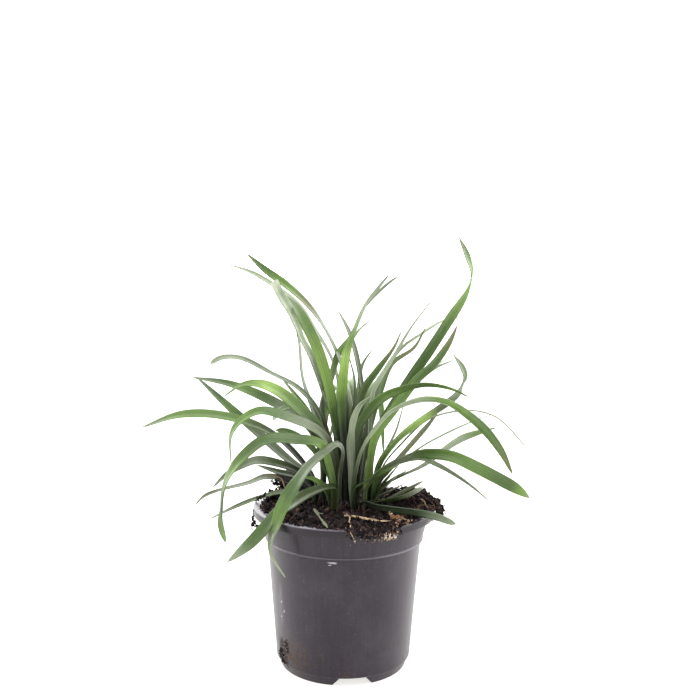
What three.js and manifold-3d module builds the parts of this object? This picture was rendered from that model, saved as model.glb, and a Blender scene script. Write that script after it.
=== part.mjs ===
// A liriope (lilyturf) growing in a round nursery pot.
// Millimetres, +Z up, +X to the right, -Y towards the front.
// The pot's axis is at x = 0, y = 0 while the pieces are made. At the end the whole plant is
// shifted so that the middle of its bounding box stands over the origin.

import * as THREE from "three";
import { mergeVertices } from "three/addons/utils/BufferGeometryUtils.js";
import Module from "manifold-3d";

const wasm = await Module();
wasm.setup();

// ---------------------------------------------------------------- driving dimensions

const GAP = 0.35; // clearance between pieces that rest on or in each other

const POT = {
  height: 93,
  wall: 1.2,
  lip: { radius: 52.5, drop: 4.4, roundOver: 0.5 },
  collar: { top: 48.9, bottom: 45.7 },
  ledge: 74.5, // height of the step between the collar and the wall below it
  body: { top: 44.5, bottom: 39.0 },
  foot: { top: 37.8, bottom: 36.5, height: 4.9 },
  blend: 0.4, // half the height over which one wall runs into the next
  // Openings in the foot ring. Each is cut from the inner radius outward.
  notch: { count: 3, firstAngle: -81.3, wide: 22.5, narrow: 14.6, height: 4.7, inner: 29, depth: 16 },
  drain: { count: 6, radius: 3.5, circle: 24, sides: 14 },
  sides: 40,
};

const SOIL = {
  level: 88.6, // height of the surface at the pot's middle, before its swells
  slack: 0.5, // clearance to the wall of the pot
  sides: 36,
  rings: [46.5, 42, 35, 28, 21, 14, 7],
  // Broad swells: middle x, y, spread and height.
  swells: [
    [3, 8, 17, 2.6],
    [40, 13, 11, 8.5],
    [45, -4, 9, 3.5],
    [-42, -6, 12, 3.4],
    [2, -37, 7.5, 7],
    [20, -38, 9, 3.5],
    [31, -28, 6, 2.2],
    [-16, -16, 5, 3.2],
    [-31, 25, 7, 7],
  ],
  ripple: 0.45,
  crumbs: { count: 26, smallest: 1.4, largest: 2.8, reach: 45, clear: 8, seed: 7 },
  // Lumps heaped over the rim on the right, and those that hang outside it: x, y, z and size.
  heap: {
    count: 9, firstAngle: -16, lastAngle: 44, smallest: 3.4, largest: 5.2,
    reach: [44.5, 51], lift: [92.8, 94.8], seed: 19,
  },
  overhang: [[54.3, -2, 91.5, 3.6], [55.2, -5.5, 89.6, 3.0], [54, 3, 93.8, 3.8]],
};

// The short stem base that a tuft's leaves grow from. It stands in a plain hole in the soil.
const CROWN = {
  radius: 4.2, footRadius: 3.4, topRadius: 2.3,
  foot: 79, waist: 83, shoulder: 92, top: 99,
  slack: 1.3, sides: 10,
};

const BLADE = {
  thickness: 0.7,
  step: 13, // length of one straight piece of a blade
  root: 85, // height at which a blade starts inside its crown
  rootOffset: 2.0,
  fold: 16, // angle by which each half of a blade is folded up from its keel, degrees
  sink: 0.5, // share of the fold's rise by which the keel lies behind the blade's middle line
  taper: 0.55, // share of a pointed blade's length at which it starts to narrow
};

const FRONT = new THREE.Vector3(0, -1, 0);
const UP = new THREE.Vector3(0, 0, 1);

// ---------------------------------------------------------------- the leaves

// Each leaf is its greatest width and the points that its middle line passes through after it
// leaves the crown. A point is x, y, z and the turn of the blade there: at 0 degrees the face
// is square to the front, at 90 degrees the blade stands edge-on to it. A leaf may be blunt,
// show its underside, or start to narrow at another share of its length (its taper).
const leaf = (width, points, options = {}) => ({ width, points, ...options });

const FRONT_LEFT = {
  name: "tuft_front_left",
  crown: [-5, -3],
  leaves: [
    // Broad leaf that folds over and hangs down outside the rim.
    leaf(7.8, [
      [-3, -4, 112, 66], [-1.6, -5.5, 126.5, 76], [-4.4, -8, 130, 75], [-9, -11, 128.2, 72],
      [-14.5, -16, 124.6, 66], [-20.7, -22.5, 119.6, 57], [-25.5, -29, 114, 44],
      [-29.4, -34, 109, 24], [-33.7, -39, 101.5, 8], [-36.5, -42, 93.4, 26],
      [-39.2, -43.5, 85.5, 52], [-39, -43.8, 77.5, 62], [-31.6, -42.5, 64, 60],
    ]),
    // Leaf that lies over the rim at the left front.
    leaf(7.2, [
      [-4.5, -6, 104, 80], [-9, -10, 106, 76], [-20, -17, 104, 52], [-28.5, -26.5, 100.4, 64],
      [-36.5, -35.5, 97.6, 52], [-43, -41.5, 90.8, 28], [-50, -47, 84.2, 22], [-61, -55, 76.5, 28],
    ], { taper: 0.75 }),
    // Short young leaf at the foot.
    leaf(4.6, [
      [-9, -3, 100, 40], [-12.5, -3, 104.6, 45], [-17.6, -2, 108.4, 50], [-23.5, -2, 109.4, 50],
    ]),
    // Long arch to the left whose end hangs straight down.
    leaf(6.6, [
      [-6, -4.5, 103, 25], [-8.4, -6, 115.4, 25], [-13.6, -10, 130.4, 34], [-27.3, -17, 134.8, 38],
      [-43.7, -28, 136.6, 36], [-56.5, -37, 127.2, 44], [-62.7, -40, 118, 62],
      [-65, -41.5, 110, 74], [-65.8, -42, 101, 82], [-66, -41.5, 92, 52], [-64.1, -40.3, 82.4, 36],
    ], { taper: 0.92 }),
    // Short leaf above that arch.
    leaf(4.2, [
      [-9, -4, 112, 40], [-22, -5, 130.5, 50], [-33, -7, 137.4, 52], [-39.4, -8, 138, 50],
    ], { blunt: true }),
    // Broad light leaf with a long thin end.
    leaf(7, [
      [-6, -1, 105, 30], [-8.5, 0, 122, 25], [-14.6, -2, 137, 25], [-25.7, -6, 150, 24],
      [-36.6, -13, 160.8, 22], [-47.1, -20, 166.4, 28], [-56.6, -25, 166.4, 55],
      [-65.4, -30, 161, 78],
    ]),
    // Arch to the left with a thin hanging end.
    leaf(6, [
      [-4.5, -2, 106, 35], [-5.6, -2, 121, 35], [-13.7, -5, 136, 42], [-31.4, -14, 146.6, 44],
      [-46.8, -23, 151.8, 42], [-54.8, -27, 148.9, 40], [-60, -29, 143.8, 45],
      [-62.2, -31, 138, 62], [-62, -32, 124.3, 76],
    ]),
  ],
};

const FRONT_RIGHT = {
  name: "tuft_front_right",
  crown: [8, -4],
  leaves: [
    // Upright grey-green leaf that shows its underside.
    leaf(5.4, [
      [4, -5, 103, 40], [4.2, -6, 117, 26], [3.4, -7, 130.6, 24], [4, -8.6, 138, 48],
      [4.9, -10, 144.6, 30], [8.2, -15, 153.6, 35], [14.5, -22, 160.4, 45],
    ], { underside: true }),
    // Green arch to the right.
    leaf(6, [
      [5.4, -4, 112, 40], [6.4, -4, 136, 30], [14.2, -6, 150.5, 20], [22.4, -9, 158.4, 26],
      [32.3, -13, 163.4, 38], [43.1, -18, 166.6, 46], [52.7, -22, 166.4, 50],
      [60.6, -26, 164.6, 55], [66.8, -29, 161.6, 62],
    ]),
    // Long pale arch to the right front.
    leaf(6.2, [
      [5, -4.5, 102, 50], [7.2, -5, 117, 60], [11.2, -7, 129.4, 62], [22.5, -12, 146.5, 62],
      [29, -16, 152.4, 58], [43.2, -26, 159.2, 50], [55, -34, 159, 48], [64.6, -40, 154.1, 44],
      [74, -45, 146.6, 32], [82.4, -49, 136.1, 26], [88.4, -52, 124.5, 30],
    ], { underside: true, taper: 0.78 }),
    // Broad low arch to the right front.
    leaf(7.1, [
      [13, -6.5, 106, 60], [23, -8, 117.2, 58], [38, -13, 125.4, 44], [47.5, -20, 128, 20],
      [59, -28, 128.4, 12], [71.9, -35, 123.9, 8], [83.1, -40, 119, 8], [92.8, -44, 114.2, 10],
      [98.7, -47, 110.4, 15],
    ], { taper: 0.88 }),
    // Short leaf that crosses in front of the stems.
    leaf(4.6, [
      [5, -4, 103, 84], [12.6, -6, 108.4, 74], [19.5, -6.5, 113.6, 40], [26, -6.8, 117.4, 16],
      [32.2, -7, 120.3, 12],
    ], { blunt: true }),
    // Thin arch below the broad one.
    leaf(4.8, [
      [12, -3.5, 103, 60], [28, -4, 117.4, 62], [43.3, -10, 123.2, 52], [51.7, -14, 120.9, 44],
      [62.4, -19, 115.8, 52], [72, -24, 109.8, 64], [79.2, -29, 104.1, 72],
    ]),
    // Leaf that lies on the soil and over the rim.
    leaf(6.4, [
      [9, -5.6, 93.5, 60], [11.5, -9.5, 97, 46], [18, -17.5, 96.9, 38], [26, -22.5, 96.9, 38],
      [34.6, -26, 96.8, 40], [44, -29.5, 96.4, 38], [52.4, -32.5, 95.2, 36], [61, -35.5, 92.4, 38],
    ], { blunt: true }),
    // Two short leaves over the soil heap, one behind the other.
    leaf(2.9, [
      [10.8, -3.8, 92.5, 60], [14, -3.6, 94.8, 58], [19, -3.5, 95.6, 55], [25, -4, 97.4, 52],
      [34, -4, 102.4, 46], [45.6, -4, 108.6, 40],
    ], { taper: 0.8 }),
    leaf(4, [
      [11, -2.6, 93.6, 55], [15, -1.8, 95.4, 52], [26, -1, 96.2, 50], [36, -0.8, 99, 36],
      [45.6, -0.6, 104, 24],
    ], { blunt: true }),
  ],
};

const LEFT = {
  name: "tuft_left",
  crown: [-14, 9],
  leaves: [
    // Longest leaf to the far left.
    leaf(6, [
      [-18, 12, 104, 60], [-23.5, 14, 112.6, 60], [-42.9, 19, 130.3, 64], [-71, 25, 139.6, 44],
      [-99.3, 29, 139.9, 44], [-123.8, 32, 131.3, 55],
    ], { taper: 0.7 }),
    // Leaf to the left and back.
    leaf(6.4, [
      [-14, 15, 118, 55], [-18, 17, 130, 50], [-27, 22, 139.4, 46], [-45.6, 30, 149, 30],
      [-70.7, 38, 157.5, 42], [-95, 45, 160.4, 55],
    ]),
    // Straight leaf that leans far out to the back left.
    leaf(6, [
      [-17, 16, 101, 50], [-22.6, 19, 106.4, 46], [-35, 27, 113.8, 44], [-52.2, 37, 126.2, 36],
      [-75, 48, 143.6, 32], [-94.8, 60, 158.5, 50],
    ]),
    // Narrow leaf with a blunt end.
    leaf(4.4, [
      [-11.5, 8, 116, 60], [-11.6, 8, 131, 60], [-15.5, 8, 145.6, 60], [-27, 9, 159.4, 66],
      [-44, 11, 168.4, 74], [-61.7, 12, 176.8, 60], [-73, 12, 176.8, 42], [-79.3, 12, 173.2, 38],
    ], { blunt: true }),
    // Short leaf between the long ones.
    leaf(4.8, [
      [-13, 12, 112, 55], [-14.5, 13, 122, 55], [-20.5, 14, 141.4, 50], [-27.4, 15, 151.8, 50],
      [-38, 16, 165, 58],
    ]),
    // Short leaf whose bent end points down.
    leaf(4.6, [
      [-13, 6, 118, 50], [-19, 4.5, 135, 50], [-28, 3, 149.6, 48], [-37.2, 2, 148, 45],
      [-41.8, 2, 141.8, 48],
    ], { blunt: true }),
    // Dark low arch.
    leaf(6, [
      [-19, 10.5, 102, 60], [-28, 12, 109.8, 58], [-35, 12, 112.8, 54], [-51.3, 12, 116, 50],
      [-60.7, 12, 112.8, 46], [-69.5, 11, 107.8, 42], [-77.8, 10, 100, 50],
    ]),
    // Short low leaf behind it.
    leaf(4.8, [[-20, 14, 100, 60], [-30, 17, 105.5, 58], [-40, 19, 107.4, 56], [-53, 21, 111, 66]]),
    // Thin brownish low leaf.
    leaf(4.6, [
      [-20, 12.5, 96.5, 50], [-26, 15, 99, 50], [-38.5, 18, 103.8, 52], [-48.2, 18.5, 104.4, 60],
      [-57.3, 19, 100.6, 74], [-76.6, 20, 95.2, 76], [-84.4, 20, 92, 50], [-90, 20, 86.4, 55],
    ]),
    // Thin leaf that rests above the rim.
    leaf(3.8, [
      [-19, 7.5, 95.5, 62], [-28, 7, 97.5, 66], [-37.8, 6, 98.2, 66], [-50.7, 5, 95, 68],
      [-62.4, 5, 90.4, 66], [-79.4, 5, 82, 72],
    ]),
    // Stumps of old leaves.
    leaf(6, [[-19, 13, 96, 30], [-30, 16, 102, 25], [-41, 17, 104.5, 20]], { blunt: true }),
    leaf(5, [[-18, 15, 97, 40], [-27, 20, 103, 35], [-36, 24, 107, 30]], { blunt: true }),
  ],
};

const CENTRE = {
  name: "tuft_centre",
  crown: [1, 9],
  leaves: [
    // Tall leaf to the upper left, turned edge-on half way.
    leaf(5.2, [
      [0.5, 9, 128, 50], [0, 9.5, 153, 60], [-2, 10, 170.6, 72], [-5.6, 10, 181, 76],
      [-13.3, 10, 196.2, 78], [-23.9, 11, 209.9, 60], [-35.5, 11, 220.2, 38],
      [-47.1, 12, 228.3, 32], [-58, 12, 237.7, 45],
    ], { taper: 0.85 }),
    // Slender tall leaf behind it.
    leaf(4.4, [
      [-2, 13, 140, 66], [-6.8, 19, 171.6, 76], [-18.5, 27, 192.3, 76], [-27.9, 35, 205.5, 70],
      [-46.7, 44, 219.2, 56], [-59.3, 48, 225.9, 44], [-73.4, 52, 230.2, 55],
    ], { taper: 0.75 }),
    // Broad bright leaf.
    leaf(6.5, [
      [-2, 7, 112, 28], [-4, 4, 130.4, 30], [-8.3, -1, 156.7, 32], [-11.7, -6, 171.7, 24],
      [-16.6, -11, 187.1, 12], [-23.3, -14, 201.3, 14], [-27.7, -14.5, 208.4, 22],
      [-34.1, -15, 215.6, 40],
    ], { taper: 0.84 }),
    // Grey-green leaf with a cut end that passes behind it and then in front.
    leaf(6.4, [
      [-2, 11, 112, 48], [-4.1, 11, 134.7, 50], [-11.8, 12, 155.4, 52], [-15.5, 11, 166.5, 54],
      [-19.8, 7, 178, 62], [-24.8, 0, 188.9, 66], [-27.4, -8, 197.4, 64], [-30.4, -16, 205.7, 54],
      [-34.2, -22, 213.3, 34], [-39.1, -26, 223.2, 14],
    ], { blunt: true }),
    // Narrow leaf beside it.
    leaf(4.6, [
      [-6, 14, 112, 50], [-12, 18, 128, 50], [-20.4, 23, 147.4, 58], [-26, 25, 163.5, 76],
      [-29, 34, 186.6, 78], [-33.6, 40, 200.2, 74], [-40.6, 45, 210.2, 74],
    ]),
    // Dark upright leaf.
    leaf(4.5, [
      [5, 12, 118, 50], [9.9, 17, 153, 50], [9.3, 20, 160.3, 52], [6.1, 26, 177.6, 56],
      [1.2, 30, 192.2, 54], [-4.9, 34, 203.3, 60],
    ], { taper: 0.75 }),
    // Bright leaf that leans to the upper right.
    leaf(6, [
      [0, 8, 112, 35], [-2.3, 1, 148.5, 25], [-1.9, -4, 160.9, 22], [0.3, -14, 183.8, 35],
      [4.4, -21, 196.9, 70], [10.7, -28, 212.2, 76], [16.4, -32, 219.9, 60], [23.1, -35, 228.4, 62],
    ], { taper: 0.75 }),
    // Light leaf that crosses behind it.
    leaf(5, [
      [-6, 13, 118, 45], [-14, 14, 146, 45], [-8.6, 13.5, 165.6, 45], [-4.6, 13, 179.6, 40],
      [2.5, 13, 190, 64], [9.8, 13, 206, 78], [20.8, 14, 218.3, 64], [30.6, 14, 226, 62],
    ], { taper: 0.8 }),
    // Thin leaf end in front of the stems.
    leaf(3.2, [[5, 8, 140, 60], [5.2, 5, 165, 64], [2, 3, 179, 70]]),
    // Dark olive leaf to the right.
    leaf(5.6, [
      [4, 10, 112, 30], [5.9, 8, 135.4, 28], [9.7, 4, 158.7, 30], [17.6, 0, 171.5, 36],
      [27.3, -6, 186.2, 52], [31, -8, 194.9, 60],
    ]),
    // Withered thread among the stems.
    leaf(1.5, [[-6, 8, 122, 60], [-10.8, 8, 138, 60], [-8.6, 8, 149.5, 60]]),
    // Young leaves in the shade of the middle.
    leaf(4.8, [[-1, 12, 125, 20], [-1.5, 13, 158, 30]]),
    leaf(4.8, [[3.5, 12.5, 120, 10], [4.5, 14, 150, 30]]),
  ],
};

const RIGHT = {
  name: "tuft_right",
  crown: [15, 7.5],
  leaves: [
    // Tallest leaf, twisted edge-on near its end.
    leaf(6.2, [
      [15, 8.5, 112, 25], [16, 9, 129.2, 20], [20.5, 8.5, 138.4, 20], [34.5, 5, 162.3, 18],
      [47.5, -2, 183.6, 14], [58.6, -9, 203.4, 20], [64.6, -14, 214.6, 50], [68.1, -18, 224.1, 84],
      [68.3, -20, 229.1, 66], [65.2, -23, 238.2, 46], [60.5, -25, 247.8, 50],
    ], { taper: 0.88 }),
    // Bright leaf beside it.
    leaf(5.8, [
      [12, 5, 98, 40], [14, 3, 110.3, 20], [17.4, 2, 132.3, 18], [28.7, 0.5, 150.2, 18],
      [40.2, -4, 167.1, 26], [49.6, -10, 177.5, 34], [56.9, -14, 188.9, 40], [61.3, -18, 199.3, 50],
    ], { taper: 0.8 }),
    // Yellow-green leaf that curls back at its end.
    leaf(5.8, [
      [17.6, 4, 105, 30], [20.5, 0.5, 118.3, 40], [29.6, -2, 131.8, 45], [41.6, -6, 143.2, 42],
      [56.5, -9, 154.3, 35], [62.8, -11, 160.3, 45], [65.4, -11, 165.4, 80], [67.1, -11, 170, 60],
      [65.4, -11, 175.6, 42], [60.8, -11, 181.8, 50],
    ], { taper: 0.85 }),
    // Bluish leaf to the upper right.
    leaf(4.8, [
      [14, 12, 120, 50], [15.8, 16, 157, 50], [19.3, 18, 163.6, 50], [28.8, 23, 178.1, 58],
      [38.5, 28, 193.9, 74], [51.2, 34, 209.9, 70],
    ]),
    // Low leaf to the right and back.
    leaf(5.4, [
      [16.8, 8.4, 98.5, 60], [28.6, 17, 103.8, 62], [37, 20, 107.2, 62], [47.9, 23, 112.1, 56],
      [61.2, 26, 121.6, 36], [71, 28, 127.3, 26], [82.6, 29, 131.2, 30], [91.8, 30, 133.4, 60],
    ], { taper: 0.75 }),
    // Wide arch seen edge-on.
    leaf(4.4, [
      [22, 11, 112, 80], [32, 13.5, 125, 82], [50, 17, 141, 82], [73.4, 20, 145.8, 82],
      [89.3, 22, 142, 82], [98.4, 23, 134.6, 82], [105.5, 24, 126.8, 82], [109.5, 25, 121.8, 82],
    ]),
    // Dark straight leaf.
    leaf(5, [
      [20, 9.8, 103.4, 50], [26.3, 12, 111.4, 48], [41.3, 15, 128.6, 45], [54.5, 17.5, 143.8, 58],
    ], { taper: 0.8 }),
    // Thin upright leaf.
    leaf(3.8, [
      [19, 9.5, 110, 66], [22.6, 10.5, 120, 68], [29.6, 12, 134, 70], [33.8, 12, 148.4, 74],
    ]),
    // Low shaded leaves over the soil heap.
    leaf(3.6, [[21, 8, 100, 50], [29, 8.5, 107, 55], [37, 9, 111.5, 68]]),
    leaf(3.4, [[20.5, 6.5, 101, 55], [26, 5.5, 109, 58], [31, 5, 115, 70]]),
    leaf(2.6, [[18.4, 5.4, 97, 60], [23, 4.4, 102, 60], [30.3, 3, 109.3, 70]]),
    leaf(2.6, [[18.8, 5, 95.5, 60], [26, 2.5, 100.4, 60], [34.4, 1, 105.2, 70]]),
  ],
};

const BACK = {
  name: "tuft_back",
  crown: [6, 22],
  leaves: [
    // Leaf ends that show above the middle.
    leaf(4, [
      [0, 25, 130, 40], [-1.2, 32, 163, 50], [1.5, 36, 180.5, 52], [6.7, 38, 190.3, 55],
      [14.7, 42, 197.4, 62],
    ]),
    leaf(4, [[7, 24, 130, 40], [8, 28, 158, 42], [9.9, 31, 170.9, 45], [15.9, 35, 180, 64]]),
    // Pale far leaf with a drooping end.
    leaf(4.4, [
      [12, 27, 130, 50], [20, 32, 160, 52], [32, 38, 179.2, 60], [45.8, 46, 188.6, 60],
      [59.8, 52, 196.4, 66], [70.2, 56, 198.3, 72], [80.2, 60, 194.6, 76],
    ]),
    // Leaf to the upper right.
    leaf(4.6, [
      [13, 24, 125, 40], [21, 27, 156.4, 36], [27.5, 32, 171.5, 34], [41.7, 39, 181.2, 40],
      [48.5, 42, 192.8, 62],
    ]),
    // Two pale leaves to the right and back.
    leaf(4, [
      [17, 30, 120, 60], [35, 42, 150, 66], [58, 54, 169, 66], [66, 58, 173.4, 68],
      [83.2, 65, 175.6, 78],
    ]),
    leaf(4.8, [[15, 27, 118, 50], [30, 33, 146, 50], [52.6, 40, 167, 50], [66.6, 45, 172.8, 62]]),
    // Thin straight leaf, low to the right.
    leaf(4.2, [
      [10, 22.5, 96.5, 68], [21.4, 24, 104.5, 70], [30, 27, 110, 70], [50.6, 32, 123.4, 70],
      [76.8, 37, 135.4, 72], [91, 39, 140, 78],
    ]),
  ],
  // Leaves that arch away to the back, made by rule.
  fan: {
    count: 7, firstAngle: 76, lastAngle: 112, width: 5.6,
    reach: [46, 74], apex: [128, 160], end: [98, 126], seed: 41,
  },
};

const TUFTS = [FRONT_LEFT, FRONT_RIGHT, LEFT, CENTRE, RIGHT, BACK];

// What lies loose on the soil: a straw fibre, bark chips and a scrap of dead leaf.
const STRAW = {
  width: 1.6,
  thickness: 0.9,
  main: [[0.5, -36.6, 0.7], [8, -37.6, 1.0], [14.5, -38.4, 1.1], [20.5, -38.6, 1.3], [26, -37.4, 1.8]],
  branch: [[8, -37.6, 1.0], [12.5, -36.2, 1.1], [18.5, -36, 1.2]],
};

const CHIPS = [
  { name: "bark_chip_1", at: [31.5, -26.5], size: [7, 3.4, 1.6], angle: 24, rise: 0.8 },
  { name: "bark_chip_2", at: [28, -31.5], size: [5, 2.6, 1.4], angle: -12, rise: 1 },
];

const LITTER = {
  width: 2,
  thickness: 0.7,
  main: [[-17, -15.5, 94.6], [-13.6, -32, 94.9], [-9.3, -48, 94.4], [-8.6, -50.6, 94.1]],
  branch: [[-15.4, -24, 94.8], [-11.6, -26.5, 94.8]],
};

// ---------------------------------------------------------------- materials

const MATERIALS = {
  pot: { color: 0x3c3a41, roughness: 0.5, metalness: 0 },
  soil: { color: 0x2b2220, roughness: 1, metalness: 0 },
  straw: { color: 0xb39a78, roughness: 0.9, metalness: 0 },
  bark: { color: 0x8a5f3f, roughness: 0.9, metalness: 0 },
  litter: { color: 0xa9a98e, roughness: 0.8, metalness: 0 },
  leaf: { color: 0x4f7440, roughness: 0.45, metalness: 0 },
};

// ---------------------------------------------------------------- helpers

// A repeatable random draw between two values.
function seededRandom(seed) {
  let state = seed;
  return (low = 0, high = 1) => {
    state = (state * 1664525 + 1013904223) % 4294967296;
    return low + (high - low) * (state / 4294967296);
  };
}

function radians(degrees) {
  return THREE.MathUtils.degToRad(degrees);
}

// Turns a closed geometry into a solid that can be joined and cut.
function toSolid(geometry) {
  const bare = geometry.clone();
  bare.deleteAttribute("normal");
  bare.deleteAttribute("uv");
  const merged = mergeVertices(bare, 1e-4);
  const corners = merged.index.array;
  const kept = [];
  for (let i = 0; i < corners.length; i += 3) {
    const [a, b, c] = [corners[i], corners[i + 1], corners[i + 2]];
    if (a !== b && b !== c && c !== a) kept.push(a, b, c);
  }
  return new wasm.Manifold(new wasm.Mesh({
    numProp: 3,
    vertProperties: new Float32Array(merged.attributes.position.array),
    triVerts: new Uint32Array(kept),
  }));
}

function toGeometry(solid) {
  const mesh = solid.getMesh();
  const geometry = new THREE.BufferGeometry();
  geometry.setAttribute("position", new THREE.BufferAttribute(mesh.vertProperties, 3));
  geometry.setIndex(new THREE.BufferAttribute(mesh.triVerts, 1));
  geometry.computeVertexNormals();
  return geometry;
}

// Joins solids and keeps the one outer body, without any pocket closed in between them.
function fuse(solids) {
  const joined = solids.reduce((whole, piece) => whole.add(piece));
  const bodies = joined.decompose();
  return bodies.reduce((best, body) => (body.volume() > best.volume() ? body : best));
}

function part(name, geometry, material) {
  const mesh = new THREE.Mesh(geometry, new THREE.MeshStandardMaterial(MATERIALS[material]));
  mesh.name = name;
  return mesh;
}

// A solid turned about the Z axis from [radius, height] pairs that run bottom to top outside.
function lathe(outline, sides) {
  const points = outline.map(([radius, height]) => new THREE.Vector2(radius, height));
  return new THREE.LatheGeometry(points, sides).rotateX(Math.PI / 2);
}

// A closed strip. Each ring lists its corners, the top face's first and the bottom face's after
// them in the opposite order, so that both faces are split into triangles alike.
function strip(rings) {
  const count = rings[0].length;
  const positions = rings.flat().flatMap((corner) => corner.toArray());
  const index = [];
  const half = count / 2;
  const across = (i) => (i < half ? i + 1 : (i + 1) % count);
  for (let ring = 0; ring < rings.length - 1; ring += 1) {
    const near = ring * count;
    const far = near + count;
    for (let i = 0; i < count; i += 1) {
      const j = across(i);
      if (i < half) index.push(near + i, near + j, far + i, near + j, far + j, far + i);
      else index.push(near + i, near + j, far + j, near + i, far + j, far + i);
    }
  }
  const last = (rings.length - 1) * count;
  for (let i = 0; i < half - 1; i += 1) {
    const [a, b, c, d] = [i, i + 1, count - 2 - i, count - 1 - i];
    index.push(a, d, b, b, d, c);
    index.push(last + a, last + b, last + d, last + b, last + c, last + d);
  }
  const geometry = new THREE.BufferGeometry();
  geometry.setAttribute("position", new THREE.Float32BufferAttribute(positions, 3));
  geometry.setIndex(index);
  return geometry;
}

// ---------------------------------------------------------------- pot

// The pot's outline, grown outward and inward by a clearance.
function potOutline(grow = 0) {
  const { height, wall, lip, collar, ledge, body, foot, blend } = POT;
  const skirt = height - lip.drop;
  const flange = height - wall;
  const floor = foot.height + wall;
  return [
    [0, foot.height - grow],
    [foot.top - wall - grow, foot.height - grow],
    [foot.bottom - wall - grow, -grow],
    [foot.bottom + grow, -grow],
    [foot.top + grow, foot.height - blend],
    [body.bottom + grow, foot.height + blend - grow],
    [body.top + grow, ledge - blend - grow],
    [collar.bottom + grow, ledge + blend - grow],
    [collar.top + grow, skirt - grow],
    [collar.top + blend + grow, flange - grow],
    [lip.radius - wall - grow, flange - grow],
    [lip.radius - wall - grow, skirt - grow],
    [lip.radius + grow, skirt - grow],
    [lip.radius + grow, height - lip.roundOver + grow],
    [lip.radius - lip.roundOver + grow, height + grow],
    [collar.top - grow, height + grow],
    [collar.top - wall - grow, height - lip.roundOver + grow],
    [collar.top - wall - grow, skirt + grow],
    [collar.bottom - wall - grow, ledge + 2 * blend + grow],
    [body.top - wall - grow, ledge + grow],
    [body.bottom - wall - grow, floor + blend + grow],
    [foot.top - wall - grow, floor + grow],
    [0, floor + grow],
  ];
}

function notchTool(angle) {
  const { wide, narrow, height, inner, depth } = POT.notch;
  const flare = (wide - narrow) / (2 * height);
  const outline = new THREE.Shape([
    new THREE.Vector2(-wide / 2 - flare, -1),
    new THREE.Vector2(wide / 2 + flare, -1),
    new THREE.Vector2(narrow / 2, height),
    new THREE.Vector2(-narrow / 2, height),
  ]);
  const block = new THREE.ExtrudeGeometry(outline, { depth, bevelEnabled: false });
  const outward = new THREE.Vector3(Math.cos(radians(angle)), Math.sin(radians(angle)), 0);
  const sideways = new THREE.Vector3().crossVectors(UP, outward);
  const frame = new THREE.Matrix4().makeBasis(sideways, UP, outward);
  return toSolid(block.applyMatrix4(frame.setPosition(outward.multiplyScalar(inner))));
}

function drainTool(angle) {
  const { radius, circle, sides } = POT.drain;
  const bore = new THREE.CylinderGeometry(radius, radius, 4 * POT.wall, sides).rotateX(Math.PI / 2);
  const middle = POT.foot.height + POT.wall / 2;
  return toSolid(bore.translate(circle * Math.cos(angle), circle * Math.sin(angle), middle));
}

function makePot() {
  let pot = toSolid(lathe(potOutline(), POT.sides));
  for (let i = 0; i < POT.notch.count; i += 1) {
    pot = pot.subtract(notchTool(POT.notch.firstAngle + (i * 360) / POT.notch.count));
  }
  for (let i = 0; i < POT.drain.count; i += 1) {
    pot = pot.subtract(drainTool((i * 2 * Math.PI) / POT.drain.count));
  }
  return pot;
}

// ---------------------------------------------------------------- soil

// Height of the soil's surface, without its crumbs.
function soilHeight(x, y) {
  const swell = SOIL.swells.reduce((sum, [cx, cy, spread, rise]) => {
    const distance = (x - cx) ** 2 + (y - cy) ** 2;
    return sum + rise * Math.exp(-distance / (2 * spread ** 2));
  }, 0);
  const ripple = Math.sin(0.55 * x + 0.2 * y) + Math.sin(0.5 * y - 0.3 * x + 1);
  return SOIL.level + swell + SOIL.ripple * ripple;
}

// One irregular lump.
function lump(random, radius, x, y, z) {
  const ball = new THREE.IcosahedronGeometry(radius, 0);
  ball.deleteAttribute("normal");
  ball.deleteAttribute("uv");
  const shape = mergeVertices(ball, 1e-4);
  const corner = new THREE.Vector3();
  for (let i = 0; i < shape.attributes.position.count; i += 1) {
    corner.fromBufferAttribute(shape.attributes.position, i).multiplyScalar(random(0.75, 1.2));
    shape.attributes.position.setXYZ(i, corner.x + x, corner.y + y, 0.8 * corner.z + z);
  }
  return toSolid(shape);
}

function soilPlug() {
  const bottom = POT.foot.height + POT.wall + GAP;
  const inset = POT.wall + SOIL.slack;
  const marker = POT.height; // every point of the surface starts at this height
  const outline = [
    [0, bottom],
    [POT.foot.top - inset, bottom],
    [POT.body.top - inset, POT.ledge],
    [SOIL.rings[0], marker],
    ...SOIL.rings.slice(1).map((radius) => [radius, marker]),
    [0, marker],
  ];
  const plug = lathe(outline, SOIL.sides);
  const position = plug.attributes.position;
  for (let i = 0; i < position.count; i += 1) {
    if (position.getZ(i) > marker - 0.01) {
      position.setZ(i, soilHeight(position.getX(i), position.getY(i)));
    }
  }
  return toSolid(plug);
}

function soilCrumbs() {
  const { count, smallest, largest, reach, clear, seed } = SOIL.crumbs;
  const random = seededRandom(seed);
  const crumbs = [];
  while (crumbs.length < count) {
    const angle = random(0, 2 * Math.PI);
    const radius = reach * Math.sqrt(random(0.05, 1));
    const [x, y] = [radius * Math.cos(angle), radius * Math.sin(angle)];
    const size = random(smallest, largest);
    const free = TUFTS.every(({ crown }) => Math.hypot(x - crown[0], y - crown[1]) > clear);
    if (free) crumbs.push(lump(random, size, x, y, soilHeight(x, y) + 0.1 * size));
  }
  return crumbs;
}

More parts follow.
